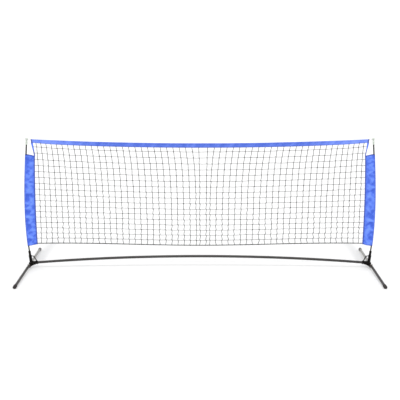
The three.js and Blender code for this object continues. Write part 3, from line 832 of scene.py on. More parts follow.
tip = pole_line[-1]
tip_along = pole_line[-1] - pole_line[-3]
tip_along /= np.linalg.norm(tip_along)
up = 24.1 * MM       # how far the cap's skirt reaches down over the pole
cap_foot = tip - up * tip_along
cap_line = np.array([cap_foot, tip + 31 * MM * tip_along])
cap_profile = [
    (up + 0.3 * MM, 0), (up + 0.3 * MM, 6.3 * MM), (0, 6.3 * MM), (0, 7.6 * MM),
    *arc((0.8 * MM, 7.7 * MM), 0.8 * MM, 180, 90, 4), (up + 13.5 * MM, 8.1 * MM),
    *arc((up + 13.7 * MM, 7.3 * MM), 0.8 * MM, 80, 10, 4),
    (up + 15.4 * MM, 5.6 * MM), (up + 16 * MM, 5.4 * MM), (up + 19.8 * MM, 5.4 * MM),
    (up + 20.6 * MM, 6.0 * MM), *arc((up + 21.8 * MM, 10.8 * MM), 1.2 * MM, 180, 90, 5),
    *arc((up + 25.5 * MM, 8.4 * MM), 3.6 * MM, 75, 20, 7), (up + 29.9 * MM, 5 * MM),
    (up + 30 * MM, 0),
]
cap = turned_along("pole_cap_moulding_right", cap_line, cap_profile, 56, step=3 * MM)
for_both_ends(crease(cap, 50), cap_plastic, "white_cap", "pole_cap")
print("pole cap stands at", [round(c, 3) for c in tip])

# %% [markdown]
# ## Legs
# Each leg is a tube with a moulded knuckle in its near end and a rubber thimble on the far end.
# The knuckle's eye turns on a bolt that stands on the hub's ear, so knuckle, tube and thimble
# ride on the leg's own body, while bolt and nut stay with the hub.

# %% Legs and feet
def leg_line(which):
    start, end = ring_middles(f"leg_tube_{which}", 1)[[0, -1]]
    if abs(start[1]) > abs(end[1]):
        start, end = end, start
    ahead = (end - start) / np.linalg.norm(end - start)
    return start - 18 * MM * ahead, ahead, start, end


def build_leg(which):
    body = f"leg_{which}"
    pivot, ahead, start, end = leg_line(which)
    across = (1, 0, 0)
    tube = turned_along(f"leg_bar_{which}", [start, end],
                        tube_profile(measured(np.array([start, end]))), 44, across)
    # Rear legs and feet take the paler copies: a painted reflection.
    paint, rubber = (rear_painted_reflection_paint, painted_reflection_rubber) if "rear" in which else (leg_paint, thimble_rubber)
    fit(crease(tube), paint, body, "base_steel", f"leg_tube_{which}")

    half = Vector((0, 0, KNUCKLE_HALF))
    point = lambda along: Vector(pivot + ahead * along)
    eye = [rod(point(0) - half, point(0) + half, 12 * MM),
           rod(point(0), point(17.6 * MM), 9.8 * MM),
           rod(point(15.4 * MM), point(17.6 * MM), 10.9 * MM),
           rod(point(8 * MM), point(46 * MM), 9.4 * MM)]
    hole = [rod(point(0) - 1.4 * half, point(0) + 1.4 * half, BOLT_HOLE_R)]
    knuckle = moulded(f"knuckle_{which}", eye, hole, 0.8 * MM, 4)
    fit(knuckle, knuckle_nylon, body, "black_moulding", f"leg_knuckle_{which}")

    far = end + 9.2 * MM * ahead
    near = far - 38 * MM * ahead
    wide, ribs = 14.5 * MM, []
    for place in np.arange(5, 26, 4.5) * MM:
        ribs += [(place, wide), (place + 0.6 * MM, wide - 0.7 * MM),
                 (place + 1.6 * MM, wide - 0.7 * MM), (place + 2.2 * MM, wide)]
    thimble_profile = [
        (30 * MM, 0), (30 * MM, 11.3 * MM), (0, 11.3 * MM), (0, 12.9 * MM),
        *arc((1.4 * MM, wide - 1.4 * MM), 1.4 * MM, 180, 90), *ribs,
        *arc((32 * MM, wide - 6 * MM), 6 * MM, 90, 0, 9), (38 * MM, 0),
    ]
    thimble = turned_along(f"foot_thimble_{which}", [near, far], thimble_profile, 52, across,
                           step=2 * MM)
    for vertex in thimble.data.vertices:
        vertex.co.z = max(vertex.co.z, 0.1 * MM)
    fit(crease(thimble, 50), rubber, body, "foot_rubber", f"foot_cap_{which}")


for which in ("front_left", "rear_left", "front_right", "rear_right"):
    build_leg(which)
print("legs reach", round(float(leg_line("rear_right")[3][1]), 3), "m to the rear")

# %% [markdown]
# ## Bolts and nuts
# The pivots are zinc-plated bolts with a low domed head, and a hexagon nut below. A hexagon is a
# circle whose radius changes with the angle, and the nut's chamfer is a cone that cuts it, so both
# come from the same ring helper.

# %% Pivot bolts and nuts
def hexagon(angle):
    """How far a hexagon's side is from its middle, as a share of the corner's distance."""
    turned = (angle + 1e-6) % (math.pi / 3) - math.pi / 6
    return math.cos(math.pi / 6) / np.cos(turned)


def build_bolt(which):
    low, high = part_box(f"pivot_bolt_{which}")
    middle = ((low.x + high.x) / 2, (low.y + high.y) / 2)
    tall = high.z - low.z
    head = tall - 3.6 * MM
    threads = [(k * 0.4 * MM + 0.8 * MM, (2.95 if k % 2 else 2.6) * MM) for k in range(16)]
    profile = [
        (0, 0), (0, 2.2 * MM), *threads, (7.4 * MM, 3 * MM), (head, 3 * MM),
        (head, 5.7 * MM), (head + 0.3 * MM, 6 * MM), (head + 1.2 * MM, 6 * MM),
        (head + 2.2 * MM, 5.3 * MM), (head + 3.0 * MM, 4.2 * MM), (tall - 0.15 * MM, 3 * MM),
        (tall, 2.3 * MM), (tall - 1.5 * MM, 2.1 * MM), (tall - 1.6 * MM, 0),
    ]
    axis = [(*middle, low.z), (*middle, high.z)]
    bolt = turned_along(f"bolt_{which}", axis, profile, 36, step=4 * MM)
    fit(crease(bolt, 42), zinc, "frame", "zinc_plate", f"pivot_bolt_{which}")

    low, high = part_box(f"pivot_nut_{which}")
    tall = high.z - low.z
    corner, flat, hole = 5.6 * MM, 5.6 * MM * math.cos(math.pi / 6), 3.1 * MM

    def nut_side(angle, place):
        cone = flat + np.clip(np.minimum(place, tall - place), 0, tall) * 1.6
        return np.minimum(hexagon(angle) * corner, cone) / corner

    outside = [(s, corner) for s in np.linspace(0, tall, 13)]
    axis = [(*middle, low.z), (*middle, high.z)]
    nut = turned_along(f"nut_{which}", axis, outside, 72, shape=nut_side, step=4 * MM)
    fit(crease(nut, 30), zinc, "frame", "zinc_plate", f"pivot_nut_{which}")


for which in ("front_left", "rear_left", "front_right", "rear_right"):
    build_bolt(which)

# %% [markdown]
# ## The net: where its knots lie
# The mesh is knotted twine with a cell of about five centimetres. It is laced evenly to the band,
# but below that it relaxes: the columns draw together towards the middle of the span over the first
# few rows, which leaves one wide cell at the top and two narrow ones below it. The lower the row,
# the less tension there is, and the more each upright twine steps sideways at its knots.

# %% Knots
HALF_COLUMNS, ROW_COUNT = 27, 17
CELL = 53.2 * MM
TOP_SPREAD, DRAWN_IN = 9, 23     # mm that columns stand apart at the band, and draw in lower down
NET_SIDE_X = 1.362
column = np.arange(-HALF_COLUMNS, HALF_COLUMNS + 1)
gaps = np.array([35, *np.linspace(51.5, 45.5, ROW_COUNT - 1), 45])
row_share = np.cumsum(gaps)[:-1] / gaps.sum()
row_number = np.arange(ROW_COUNT)

tape_points = cad_points("edge_tape_right")
tape_rows = np.array([(r[:, 0].min(), r[:, 0].max(), r[:, 2].mean())
                      for r in rings(tape_points, 2, 2 * MM)])
tape_inner, tape_outer = reader(tape_rows, 2, 0), reader(tape_rows, 2, 1)


def column_x(which, row):
    """X of a column at a row. The band's edge is row -0.7 and the bottom cord is row 17."""
    held = np.exp(-row / 4)
    right = np.where(which > 0.5, 1, -1)
    resting = np.where((which == 0) | (which == 1), 0, right)
    shift = TOP_SPREAD * right * held - DRAWN_IN * resting * (1 - held)
    apart = CELL * which + MM * shift
    side = NET_SIDE_X + 0.018 * np.clip(row / ROW_COUNT, 0, 1) \
        + 0.012 * np.exp(-(row + 0.7) / 1.5)
    drawn = TOP_SPREAD * held - DRAWN_IN * (1 - held)
    excess = CELL * HALF_COLUMNS + MM * drawn - side
    return apart - excess * (which / HALF_COLUMNS) ** 5


def level(x, share):
    """Height of a point that is this share of the way down from the band to the bottom cord."""
    top = band_low(x) + 5 * MM * (x / band_end) ** 2
    return top + (cord_z(x) - top) * share


knot = np.zeros((len(column), ROW_COUNT, 3))
for row in row_number:
    x = column_x(column, row) + dice.normal(0, (0.5 + 0.07 * row) * MM, len(column))
    knot[:, row, 0] = x
    knot[:, row, 1] = dice.normal(0, 0.5 * MM, len(column))
    knot[:, row, 2] = level(x, row_share[row]) + dice.normal(0, 0.7 * MM, len(column))
step_side = np.where(dice.random(len(column)) < 0.25, -1, 1) * np.where(column > 2, -1, 1)
step_size = (1.2 + 5.6 * row_share) * MM * dice.uniform(0.55, 1.35, (len(column), ROW_COUNT))
step_x = step_side[:, None] * step_size
print("knots:", knot.shape[0] * knot.shape[1], "cell at the middle:",
      np.diff(knot[28:31, 8, 0]).round(4), "m")

# %% [markdown]
# ## The net: twine and knots
# The net has some two thousand short spans of twine, which would be slow as curve objects, so one
# helper turns a list of paths into a single mesh of thin tubes. Upright twines carry the load and
# are a little thicker than the level ones. Each knot is a tilted wrap of twine round the crossing,
# as a netmaker's sheet bend looks from a step away.

# %% Thin tubes along many paths
def strands(name, paths, radius, sides=6, up=(0, 1, 0)):
    verts, faces, uvs, start = [], [], [], 0
    for path in paths:
        ahead = np.gradient(path, axis=0)
        ahead /= np.linalg.norm(ahead, axis=1)[:, None]
        first = np.cross(ahead, up)
        first /= np.linalg.norm(first, axis=1)[:, None]
        ring = circles(sides, first, np.cross(ahead, first))
        verts.append((path[:, None] + radius * ring).reshape(-1, 3))
        quads = grid_faces(len(path), sides, wrap=True)
        uvs.append(round_uvs(quads, sides, radius, run_along(path)))
        last = start + (len(path) - 1) * sides
        faces += (quads + start).tolist()
        faces += [[start + i for i in range(sides)][::-1], [last + i for i in range(sides)]]
        uvs.append(np.zeros((2 * sides, 2)))
        start += len(path) * sides
    return mesh_object(name, np.vstack(verts), faces, np.vstack(uvs))


def upright_twine(which):
    knots, steps = knot[which], step_x[which]
    top_x = column_x(column[which], -0.7)
    head = np.array([top_x, 0, level(top_x, 0) + 3.5 * MM])
    edge = np.array([top_x, 0, level(top_x, 0)])
    foot_x = column_x(column[which], ROW_COUNT)
    foot = np.array([foot_x, 0, cord_z(foot_x)])
    path = [head, edge]
    for row, here in enumerate(knots):
        below = knots[row + 1] if row + 1 < ROW_COUNT else foot
        reach = steps[row] / 2
        path.append(here)
        for share, push in ((0.1, 1.0), (0.5, 0.1), (0.9, -1.0)):
            point = here + (below - here) * share
            point[0] += push * reach
            path.append(point)
    return np.array([*path, foot])


def side_x(z):
    return np.where(z < inner_top, sleeve_x(z), tape_inner(z) + 2 * MM) + 2.5 * MM


def level_twine(row):
    knots = knot[:, row]
    ends = []
    for way, near in ((-1, knots[0]), (1, knots[-1])):
        z = level(way * 1.39, row_share[row])
        ends.append(np.array([way * float(side_x(z)), 0, z]))
    stops = np.vstack([ends[0], knots, ends[1]])
    path = [stops[0]]
    for a, b in zip(stops, stops[1:]):
        sag = dice.uniform(0.3, 1.6) * MM
        drift = dice.normal(0, 0.5) * MM
        for share in (0.25, 0.5, 0.75):
            point = a + (b - a) * share
            point[2] -= 4 * sag * share * (1 - share)
            point[1] += drift * 4 * share * (1 - share)
            path.append(point)
        path.append(b)
    return np.array(path)


UPRIGHT_R, LEVEL_R = 2.2 * MM, 1.6 * MM
uprights = [upright_twine(i) for i in range(len(column))]
levels = [level_twine(row) for row in row_number]
print("twines:", len(uprights), "upright and", len(levels), "level")

# %% Net twines
def merged(name, objects):
    """Several meshes as one object, which keeps their UV maps."""
    work = bmesh.new()
    for obj in objects:
        work.from_mesh(obj.data)
        bpy.data.objects.remove(obj)
    mesh = bpy.data.meshes.new(name)
    work.to_mesh(mesh)
    work.free()
    return add_object(name, mesh)


net = merged("net_twines", [strands("uprights", uprights, UPRIGHT_R),
                            strands("levels", levels, LEVEL_R)])
fit(net, net_twine, "frame", "net_cord", "net_mesh")
print("twine:", round(sum(measured(p) for p in uprights + levels), 1), "m")

# %% Knots as tilted wraps
def wrap(centre, radius, turns, rise, axis, start, tilt=0.0, per_turn=9):
    """A helix round a centre: its axis is 2 for a wrap about Z and 0 for one about X."""
    t = np.linspace(-0.5, 0.5, int(per_turn * turns) + 1)
    a = start + 2 * np.pi * turns * t
    path = np.zeros((len(t), 3))
    others = [i for i in range(3) if i != axis]
    path[:, others[0]], path[:, others[1]] = radius * np.cos(a), radius * np.sin(a)
    path[:, axis] = rise * t + tilt * path[:, others[0]]
    return centre + path


wraps = []
for i in range(len(column)):
    for row in row_number:
        start, tilt = dice.uniform(0, 2 * np.pi), dice.choice([-1, 1]) * dice.uniform(0.5, 1.0)
        wraps.append(wrap(knot[i, row], 2.6 * MM, 1.6, 4.0 * MM, 2, start, tilt))
knots_piece = strands("net_knots", wraps, 1.3 * MM, 5, up=(0.2, 0.1, 1))
fit(knots_piece, net_twine, "frame", "net_cord")
print("knots:", len(wraps), "wraps,", len(knots_piece.data.polygons), "faces")

# %% [markdown]
# ## The bottom cord
# A black braided cord runs along the foot of the net. Each upright is tied to it with a few turns,
# and two lacing twines spiral along it between the ties. A braid is a round rod whose radius rises
# and falls in two crossing spirals.

# %% Bottom cord
def braid(strand_count, pitch, depth):
    def shape(angle, place):
        left = np.cos(strand_count * angle + 2 * np.pi * place / pitch)
        right = np.cos(strand_count * angle - 2 * np.pi * place / pitch)
        return 1 + depth * (np.maximum(left, right) - 0.6)
    return shape


CORD_R = 2.5 * MM
cord_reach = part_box("bottom_cord")[1].x
cord_path = between(cord_line, -cord_reach, cord_reach, 0, 400)
long = measured(cord_path)
bottom_cord = turned_along(
    "bottom_cord_braid", cord_path,
    [(0, 0), (0, 1.4 * MM), (1.2 * MM, CORD_R), (long - 1.2 * MM, CORD_R), (long, 1.4 * MM),
     (long, 0)],
    14, shape=braid(4, 9 * MM, 0.07), step=1.8 * MM,
)
fit(bottom_cord, black_cord, "frame", "net_cord", "bottom_cord")

ties = []
for i, which in enumerate(column):
    x = float(column_x(which, ROW_COUNT))
    centre = np.array([x, 0, cord_z(x)])
    turns = dice.choice([2.5, 3.5, 4.5])
    ties.append(wrap(centre, CORD_R + 0.8 * MM, turns, turns * 1.9 * MM, 0, dice.uniform(0, 6.28)))
LACING_PITCH, LACING_R = 15 * MM, 1.15 * MM
reach = cord_reach - 3 * MM
along = np.linspace(-reach, reach, 2200)
off_axis = CORD_R + 0.9 * MM
lacing = []
for start in (0, math.pi):
    angle = 2 * np.pi * along / LACING_PITCH + start
    lacing.append(np.stack([along, off_axis * np.cos(angle),
                            cord_z(along) + off_axis * np.sin(angle)], 1))
for way in (-1, 1):
    x = way * (cord_reach - 7 * MM)
    ties.append(wrap(np.array([x, 0, cord_z(x)]), CORD_R + 0.8 * MM, 5, 9.5 * MM, 0, 0))
tie_piece = merged("bottom_cord_ties", [strands("ties", ties, 0.95 * MM, 5, up=(1, 0.1, 0.1)),
                                        strands("lacing", lacing, LACING_R, 5, up=(1, 0, 0))])
fit(tie_piece, net_twine, "frame", "net_cord")
print("bottom cord is", round(long, 3), "m long")

# %% [markdown]
# ## The head cord
# A white braided cord carries the net. It runs inside the band and ends in a loop at each side,
# which drops into the groove of the pole cap. A whipping of thread holds the loop closed.

# %% Head cord and its loops
HEAD_R = 2 * MM
groove = tip + 18 * MM * tip_along
across_tip = np.array([tip_along[2], 0, -tip_along[0]])
LOOP_R = 8 * MM
loop_in = groove - LOOP_R * across_tip


def head_line():
    reach = loop_in[0] - 1 * MM
    x = np.linspace(-reach, reach, 500)
    inside = np.interp(np.abs(x), [band_end - 20 * MM, reach], [0, 1])
    at_band = band_top(x) - 5 * MM
    return np.stack([x, 0 * x, at_band + (loop_in[2] - at_band) * inside ** 2], 1)


path = head_line()
long = measured(path)
head = turned_along("head_line", path, [(0, 0), (0, HEAD_R), (long, HEAD_R), (long, 0)], 12,
                    shape=braid(3, 7 * MM, 0.06), step=2 * MM)
pieces = [head]
for way in (-1, 1):
    turn = np.linspace(0, 2 * np.pi, 49)
    loop = groove + LOOP_R * (np.cos(turn)[:, None] * across_tip
                              + np.sin(turn)[:, None] * (0, 1, 0))
    loop = loop * (way, way, 1)
    around = measured(loop)
    pieces.append(turned_along(f"loop_{way}", loop, [(0, HEAD_R), (around, HEAD_R)], 12,
                               side=tip_along * (way, way, 1), step=1.5 * MM,
                               shape=braid(3, around / 7, 0.06)))
head_cord = merged("head_cord_braid", pieces)
fit(head_cord, braided_white, "frame", "white_cord", "head_cord")

whippings = []
for way in (-1, 1):
    x = way * (loop_in[0] - 7 * MM)
    z = np.interp(x, path[:, 0], path[:, 2])
    whippings.append(wrap(np.array([x, 0, z]), HEAD_R + 0.5 * MM, 7, 7.5 * MM, 0, 0, per_turn=12))
whipping = strands("head_cord_whipping", whippings, 0.55 * MM, 6, up=(1, 0.1, 0.1))
fit(whipping, braided_white, "frame", "white_cord")
print("head cord is", round(long + 2 * around, 3), "m long with its loops")

# %% [markdown]
# ## The band
# The band is one strip of blue cloth, folded over the head cord and sewn shut: a row of stitches
# under the cord and another along the lower hem. It is built as a thin sheet that follows that
# fold, with soft creases that grow towards the ends, where the corner pulls. Solidify then gives
# the cloth its thickness.

# %% Band cloth
def ripple(x, scale, seed, octaves=3):
    """Smooth noise along a line, the same each run: a few sines with fixed odd phases."""
    total = 0
    for octave in range(octaves):
        rate = scale * 1.9 ** octave
        total = total + np.sin(x * rate + seed * 2.3 + octave * 1.7) / 1.7 ** octave
        total = total + np.sin(x * rate * 0.618 + seed * 5.1 - octave) / 1.7 ** octave
    return total / 3


BAND_HEIGHT = 38 * MM
half_fold = smooth_line(np.array([
    (1.5, 0, 38), (1.1, 0, 34.5), (2.0, 0, 30), (2.4, 0, 23), (2.0, 0, 16.5), (1.2, 0, 12.4),
    (2.3, 0, 9), (3.1, 0, 5.6), (2.9, 0, 2.6), (1.7, 0, 0.7), (0, 0, 0.05),
]) * MM, 2)
fold_y = np.concatenate([-half_fold[:, 0], half_fold[-2::-1, 0]])
fold_drop = np.concatenate([half_fold[:, 2], half_fold[-2::-1, 2]])
BAND_CUT = float(np.hypot(np.diff(fold_y), np.diff(fold_drop)).sum())


def band_point(x, y, drop):
    """A point of the band: y and drop are its place in the folded section."""
    high, low = band_top(x), band_low(x)
    share = drop / BAND_HEIGHT
    near_end = np.clip((np.abs(x) - 1.05) / (band_end - 1.05), 0, 1) ** 2
    slack = (0.35 + 1.1 * near_end) * MM
    sway = slack * ripple(x + 0.3 * drop, 26, 1.0) * np.sin(np.pi * np.clip(share, 0, 1)) ** 0.5
    crease = 1.2 * MM * near_end * ripple(x + drop * 1.6, 130, 2.0, 2) * share
    layer = np.sign(y) * 0.25 * MM * ripple(x + drop, 75, 4.0) * np.clip(share * 4, 0, 1)
    pucker = np.sign(y) * 0.12 * MM * np.sin(x * 2 * np.pi / (5.5 * MM) + y * 900)
    wave = 0.5 * MM * ripple(x, 9, 3.0)
    slant = -np.sign(x) * 4 * MM * share * np.clip((np.abs(x) - band_end + 0.03) / 0.03, 0, 1)
    return np.stack([x + slant, y + sway + crease + layer + pucker * (share > 0.25),
                     high - (high - low) * share + wave * (1 - share)], -1)


def cloth_strip(name, points, cut_width, thickness=0.5 * MM, seam_and_painted_shade=0.0, painted_crease_shade=0.5):
    """A grid of points as cloth with a thickness. The seam value is 1 where layers are sewn and
    look dark, and also where painted shade is laid; the crease value is 1 on top of a crease, which
    gets a painted highlight, 0.5 where nothing is painted, and 0 in a hollow, which gets painted
    shade."""
    rows, columns = points.shape[:2]
    faces = grid_faces(rows, columns)
    along = run_along(points[:, columns // 2])
    row, where = np.divmod(faces, columns)
    uvs = np.stack([where * cut_width / (columns - 1), along[row]], 2).reshape(-1, 2)
    obj = mesh_object(name, points.reshape(-1, 3), faces, uvs)
    for kind, values in (("seam_and_painted_shade", seam_and_painted_shade), ("painted_crease_shade", painted_crease_shade)):
        layer = obj.data.attributes.new(kind, "FLOAT", "POINT")
        values = np.clip(np.broadcast_to(values, (rows, columns)), 0, 1)
        layer.data.foreach_set("value", values.astype(np.float32).ravel())
    thick = obj.modifiers.new("thickness", "SOLIDIFY")
    thick.thickness, thick.offset = thickness, 0
    return settled(obj)


station = np.linspace(-band_end + 2 * MM, band_end - 2 * MM, 860)
strip = band_point(station[:, None], fold_y[None, :], fold_drop[None, :])
from_hem = BAND_HEIGHT - fold_drop[None, :]
from_end = band_end - np.abs(station[:, None])
band_seam = np.maximum(0.6 * np.clip(1 - from_hem / (4 * MM), 0, 1),
                       1.6 * np.clip(1 - from_end / (11 * MM), 0, 1))
# Painted light and shade: the band is painted darker in its middle and lighter towards its ends,
# where its creases are, with a slow ripple along it.
band_painted_crease_shade = 0.24 + 0.42 * np.clip((np.abs(station[:, None]) - 0.85) / 0.4, 0, 1) \
    + 0.12 * ripple(station[:, None] + 0.7 * fold_drop[None, :], 60, 2.0)
band = cloth_strip("top_band_cloth", strip, BAND_CUT, seam_and_painted_shade=band_seam, painted_crease_shade=band_painted_crease_shade)
fit(band, band_cloth, "frame", "blue_fabric", "top_band")
print("band: cut", round(BAND_CUT, 4), "m wide, cloth", len(band.data.polygons), "faces")

# %% Stitches
def stitches(name, points, up=(0.1, 0.05, 1), radius=0.28 * MM, gap=0.3):
    """Short dashes of thread along a line of points, each standing a little out of the cloth."""
    paths = []
    for a, b in zip(points[:-1], points[1:]):
        t = np.linspace(gap / 2, 1 - gap / 2, 4)[:, None]
        paths.append(a + (b - a) * t)
    return strands(name, paths, radius, 4, up)


def band_seam_line(drop, half, front):
    x = np.arange(-band_end + 5 * MM, band_end - 5 * MM, 4.2 * MM)
    y = np.full_like(x, front * half)
    points = band_point(x, y, np.full_like(x, drop))
    points[:, 1] += front * 0.35 * MM
    return points


rows_of_stitches = [
    stitches("row", band_seam_line(drop, half, front))
    for drop, half in ((12.4 * MM, 1.2 * MM), (34.5 * MM, 1.1 * MM)) for front in (-1, 1)
]
band_stitches = merged("top_band_stitches", rows_of_stitches)
fit(band_stitches, navy_thread, "frame", "blue_fabric")
print("band stitches:", len(band_stitches.data.polygons), "faces")

# %% [markdown]
# ## The side sleeves
# A sleeve is a strip of cloth folded round the pole and sewn together along the net. The pull of
# the net keeps it tight from side to side, while its length is slack, so it breaks into slanted
# creases. That is a job for the cloth simulation: the seam and the pocket are pinned, the cloth
# between them is cut a little too long, and it buckles by itself.

# %% Sleeve cut: a grid over the folded cloth
POCKET_R = 8.7 * MM
FLAT_STEPS, ROUND_STEPS, LENGTH_STEPS = 15, 7, 150


def sleeve_point(across, up):
    """A point of the folded sleeve. across runs 0 to 1 over the front layer, to 2 round the pole
    and to 3 back over the rear layer; up runs from the lower hem to the upper one."""
    if across <= 1:
        inward, y = 1 - across, -POCKET_R * across - 0.9 * MM * (1 - across)
        out = 0.0
    elif across >= 2:
        inward, y = across - 2, POCKET_R * (3 - across) + 0.9 * MM * (across - 2)
        out = 0.0
    else:
        turn = math.pi * (across - 1.5)
        inward, y, out = 0.0, POCKET_R * math.sin(turn), POCKET_R * math.cos(turn)
    low = outer_low + (inner_low - outer_low) * inward
    high = outer_top + (inner_top - outer_top) * inward
    z = low + (high - low) * up
    pole = float(pole_x(z))
    edge = float(sleeve_x(z))
    return pole + (edge - pole) * inward + out, y, z


across = np.concatenate([
    np.linspace(0, 1, FLAT_STEPS + 1), np.linspace(1, 2, ROUND_STEPS + 1)[1:],
    np.linspace(2, 3, FLAT_STEPS + 1)[1:],
])
sleeve_grid = np.array([[sleeve_point(a, up) for a in across]
                        for up in np.linspace(0, 1, LENGTH_STEPS + 1)])
middle_row = sleeve_grid[LENGTH_STEPS // 2]
SLEEVE_CUT = measured(middle_row)
print("sleeve: cut", round(SLEEVE_CUT, 3), "m wide, grid", sleeve_grid.shape[:2])

# %% Sleeve cloth, simulated
SLACK = 0.05       # how much longer each thread is than the gap that it crosses


def slanted(grid, height):
    """The first hint of a crease: slanted ripples across each layer that die out at the seams."""
    moved = grid.copy()
    inside = np.sin(np.pi * np.clip(across, 0, 1)) + np.sin(np.pi * np.clip(across - 2, 0, 1))
    phase = grid[..., 2] + 1.1 * grid[..., 0]
    moved[..., 1] += height * inside[None, :] * ripple(phase, 95, 1.5, 2)
    return moved


def simulated(grid, frames):
    """Lets the cloth between its seams buckle, and returns the grid of points where it settles."""
    rows, columns = grid.shape[:2]
    start = slanted(grid, 1.6 * MM)
    start[..., 1] += dice.normal(0, 0.2 * MM, (rows, columns))
    obj = mesh_object("sleeve_cloth", start.reshape(-1, 3), grid_faces(rows, columns))
    pins = obj.vertex_groups.new(name="sewn")
    place = np.arange(rows * columns).reshape(rows, columns)
    sewn = np.concatenate([place[:, :3].ravel(), place[:, -3:].ravel(),
                           place[:, FLAT_STEPS + 1:FLAT_STEPS + ROUND_STEPS].ravel()])
    pins.add(sewn.tolist(), 1.0, "REPLACE")
    cloth = obj.modifiers.new("cloth", "CLOTH")
    settings = cloth.settings
    settings.quality = 6
    settings.mass = 0.15
    settings.tension_stiffness = settings.compression_stiffness = 40
    settings.shear_stiffness = 4
    settings.bending_stiffness = 0.02
    settings.air_damping = 3
    settings.vertex_group_mass = "sewn"
    settings.shrink_min = -SLACK
    settings.use_pressure = True
    settings.uniform_pressure_force = 0.25
    settings.effector_weights.gravity = 0.0
    cloth.collision_settings.use_collision = False
    cloth.point_cache.frame_start, cloth.point_cache.frame_end = 1, frames
    for frame_number in range(1, frames + 1):
        scene.frame_set(frame_number)
    graph = bpy.context.evaluated_depsgraph_get()
    done = obj.evaluated_get(graph).to_mesh()
    points = np.zeros(rows * columns * 3)
    done.vertices.foreach_get("co", points)
    scene.frame_set(1)
    bpy.data.objects.remove(obj)
    return points.reshape(rows, columns, 3)


settled_grid = simulated(sleeve_grid, 30)
moved = settled_grid - sleeve_grid
print("sleeve cloth moved at most", round(float(np.abs(moved).max()), 4), "m, on average",
      round(float(np.linalg.norm(moved, axis=2).mean()), 5), "m")

# %% Keep the layers apart and off the pole
def kept_clear(grid, original):
    """Caps how far a point may go, keeps front in front of rear, and both off the rod."""
    limit, least = 7 * MM, POCKET_R - 0.3 * MM
    free = original + np.clip(grid - original, -limit, limit)
    front, rear = across <= 1, across >= 2
    free[:, front, 1] = np.minimum(free[:, front, 1], -0.7 * MM)
    free[:, rear, 1] = np.maximum(free[:, rear, 1], 0.7 * MM)
    axis_x = pole_x(free[..., 2])
    away = np.hypot(free[..., 0] - axis_x, free[..., 1])
    push = np.where(away < least, least / np.maximum(away, 1e-6), 1.0)
    free[..., 0] = axis_x + (free[..., 0] - axis_x) * push
    free[..., 1] *= push
    return free


sleeve_grid_final = kept_clear(settled_grid, sleeve_grid)


def blurred(values, reach):
    """Each value replaced by the mean of its neighbours along both ways of a grid."""
    for axis in (0, 1):
        around = np.arange(-reach, reach + 1)
        count = values.shape[axis]
        near = np.clip(np.arange(count)[:, None] + around, 0, count - 1)
        values = np.take(values, near, axis=axis).mean(axis + 1)
    return values


up_share = np.arange(LENGTH_STEPS + 1)[:, None] / LENGTH_STEPS
from_hem = np.minimum(up_share, 1 - up_share) * (outer_top - outer_low)
hem = np.clip(1.25 - from_hem / (9 * MM), 0, 1)
# Painted shade: the pocket round the pole is painted darker, most of all at its outer edge, where
# it turns away from the light.
pocket_painted_shade = np.clip(1.3 - np.abs(across[None, :] - 1.5) / 0.5, 0, 1)
sleeve_hems_and_painted_shade = np.clip(0.9 * hem + 0.75 * pocket_painted_shade, 0, 1)
# Painted light and shade on the creases: crease tops and slopes that face up are painted lighter,
# hollows and slopes that face down darker.
outward = np.where(across < 1.5, -1, 1) * (sleeve_grid_final - sleeve_grid)[..., 1]
fine = blurred(outward, 1) - blurred(outward, 6)
facing_up = np.gradient(blurred(outward, 1), axis=0) * -LENGTH_STEPS / (outer_top - outer_low)
sleeve_painted_crease_shade = 0.40 + 0.25 * np.clip(fine / (3 * MM), -1, 1) + 0.55 * np.clip(facing_up, -0.6, 0.6)
print("crease height up to", round(float(np.abs(fine).max()), 4), "m")
sleeve = cloth_strip("side_sleeve_cloth_right", sleeve_grid_final, SLEEVE_CUT, 0.6 * MM,
                     seam_and_painted_shade=sleeve_hems_and_painted_shade, painted_crease_shade=sleeve_painted_crease_shade)
rounder = sleeve.modifiers.new("rounder", "SUBSURF")
rounder.levels = rounder.render_levels = 1
settled(sleeve)
sleeve_left = placed("side_sleeve_cloth_left", sleeve, HALF_TURN)
for obj, end in ((sleeve, "right"), (sleeve_left, "left")):
    fit(obj, blue_cloth, "frame", "blue_fabric", f"side_sleeve_{end}")
print("sleeve:", len(sleeve.data.polygons), "faces")

# %% [markdown]
# ### Binding along the net
# The sleeve's open edge is bound with a darker folded tape, and the net's last cells are sewn into
# it. The binding is a U-shaped strip that grips both layers.

# %% Binding tape
def binding_strip():
    heights = np.linspace(inner_low - 1 * MM, inner_top + 0.5 * MM, 220)
    fold = [(9.5, -1.9), (6, -2.1), (2.5, -2.0), (0.6, -1.5), (-0.2, 0), (0.6, 1.5), (2.5, 2.0),
            (6, 2.1), (9.5, 1.9)]
    fold = smooth_line([(a, b, 0) for a, b in fold], 3)[:, :2] * MM
    rows = []
    for z in heights:
        x = float(sleeve_x(z))
        puff = 0.25 * MM * float(ripple(z, 160, 2.0))
        rows.append([(x + a, b + np.sign(b) * puff, z) for a, b in fold])
    return np.array(rows), measured(fold)


binding_points, binding_width = binding_strip()
binding = cloth_strip("sleeve_binding_right", binding_points, binding_width, 0.5 * MM)
binding_left = for_both_ends(binding, seam_cloth, "blue_fabric", "")


def binding_stitch_line(front):
    z = np.arange(inner_low + 3 * MM, inner_top - 3 * MM, 4.0 * MM)
    return np.stack([sleeve_x(z) + 8 * MM, np.full_like(z, front * 2.4 * MM), z], 1)


binding_stitches = merged("sleeve_stitches_right",
                          [stitches("row", binding_stitch_line(front), up=(0, 1, 0))
                           for front in (-1, 1)])
for_both_ends(binding_stitches, navy_thread, "blue_fabric", "")
print("binding:", round(binding_width, 4), "m wide before it was folded")

# %% [markdown]
# ## Edge tape and band ends
# A narrow tape runs from the band's corner down to the sleeve. It is flat cloth with a twist in it,
# so it shows its face near the band and its edge lower down. The band's end is closed with a small
# folded tab, held with bar tacks.

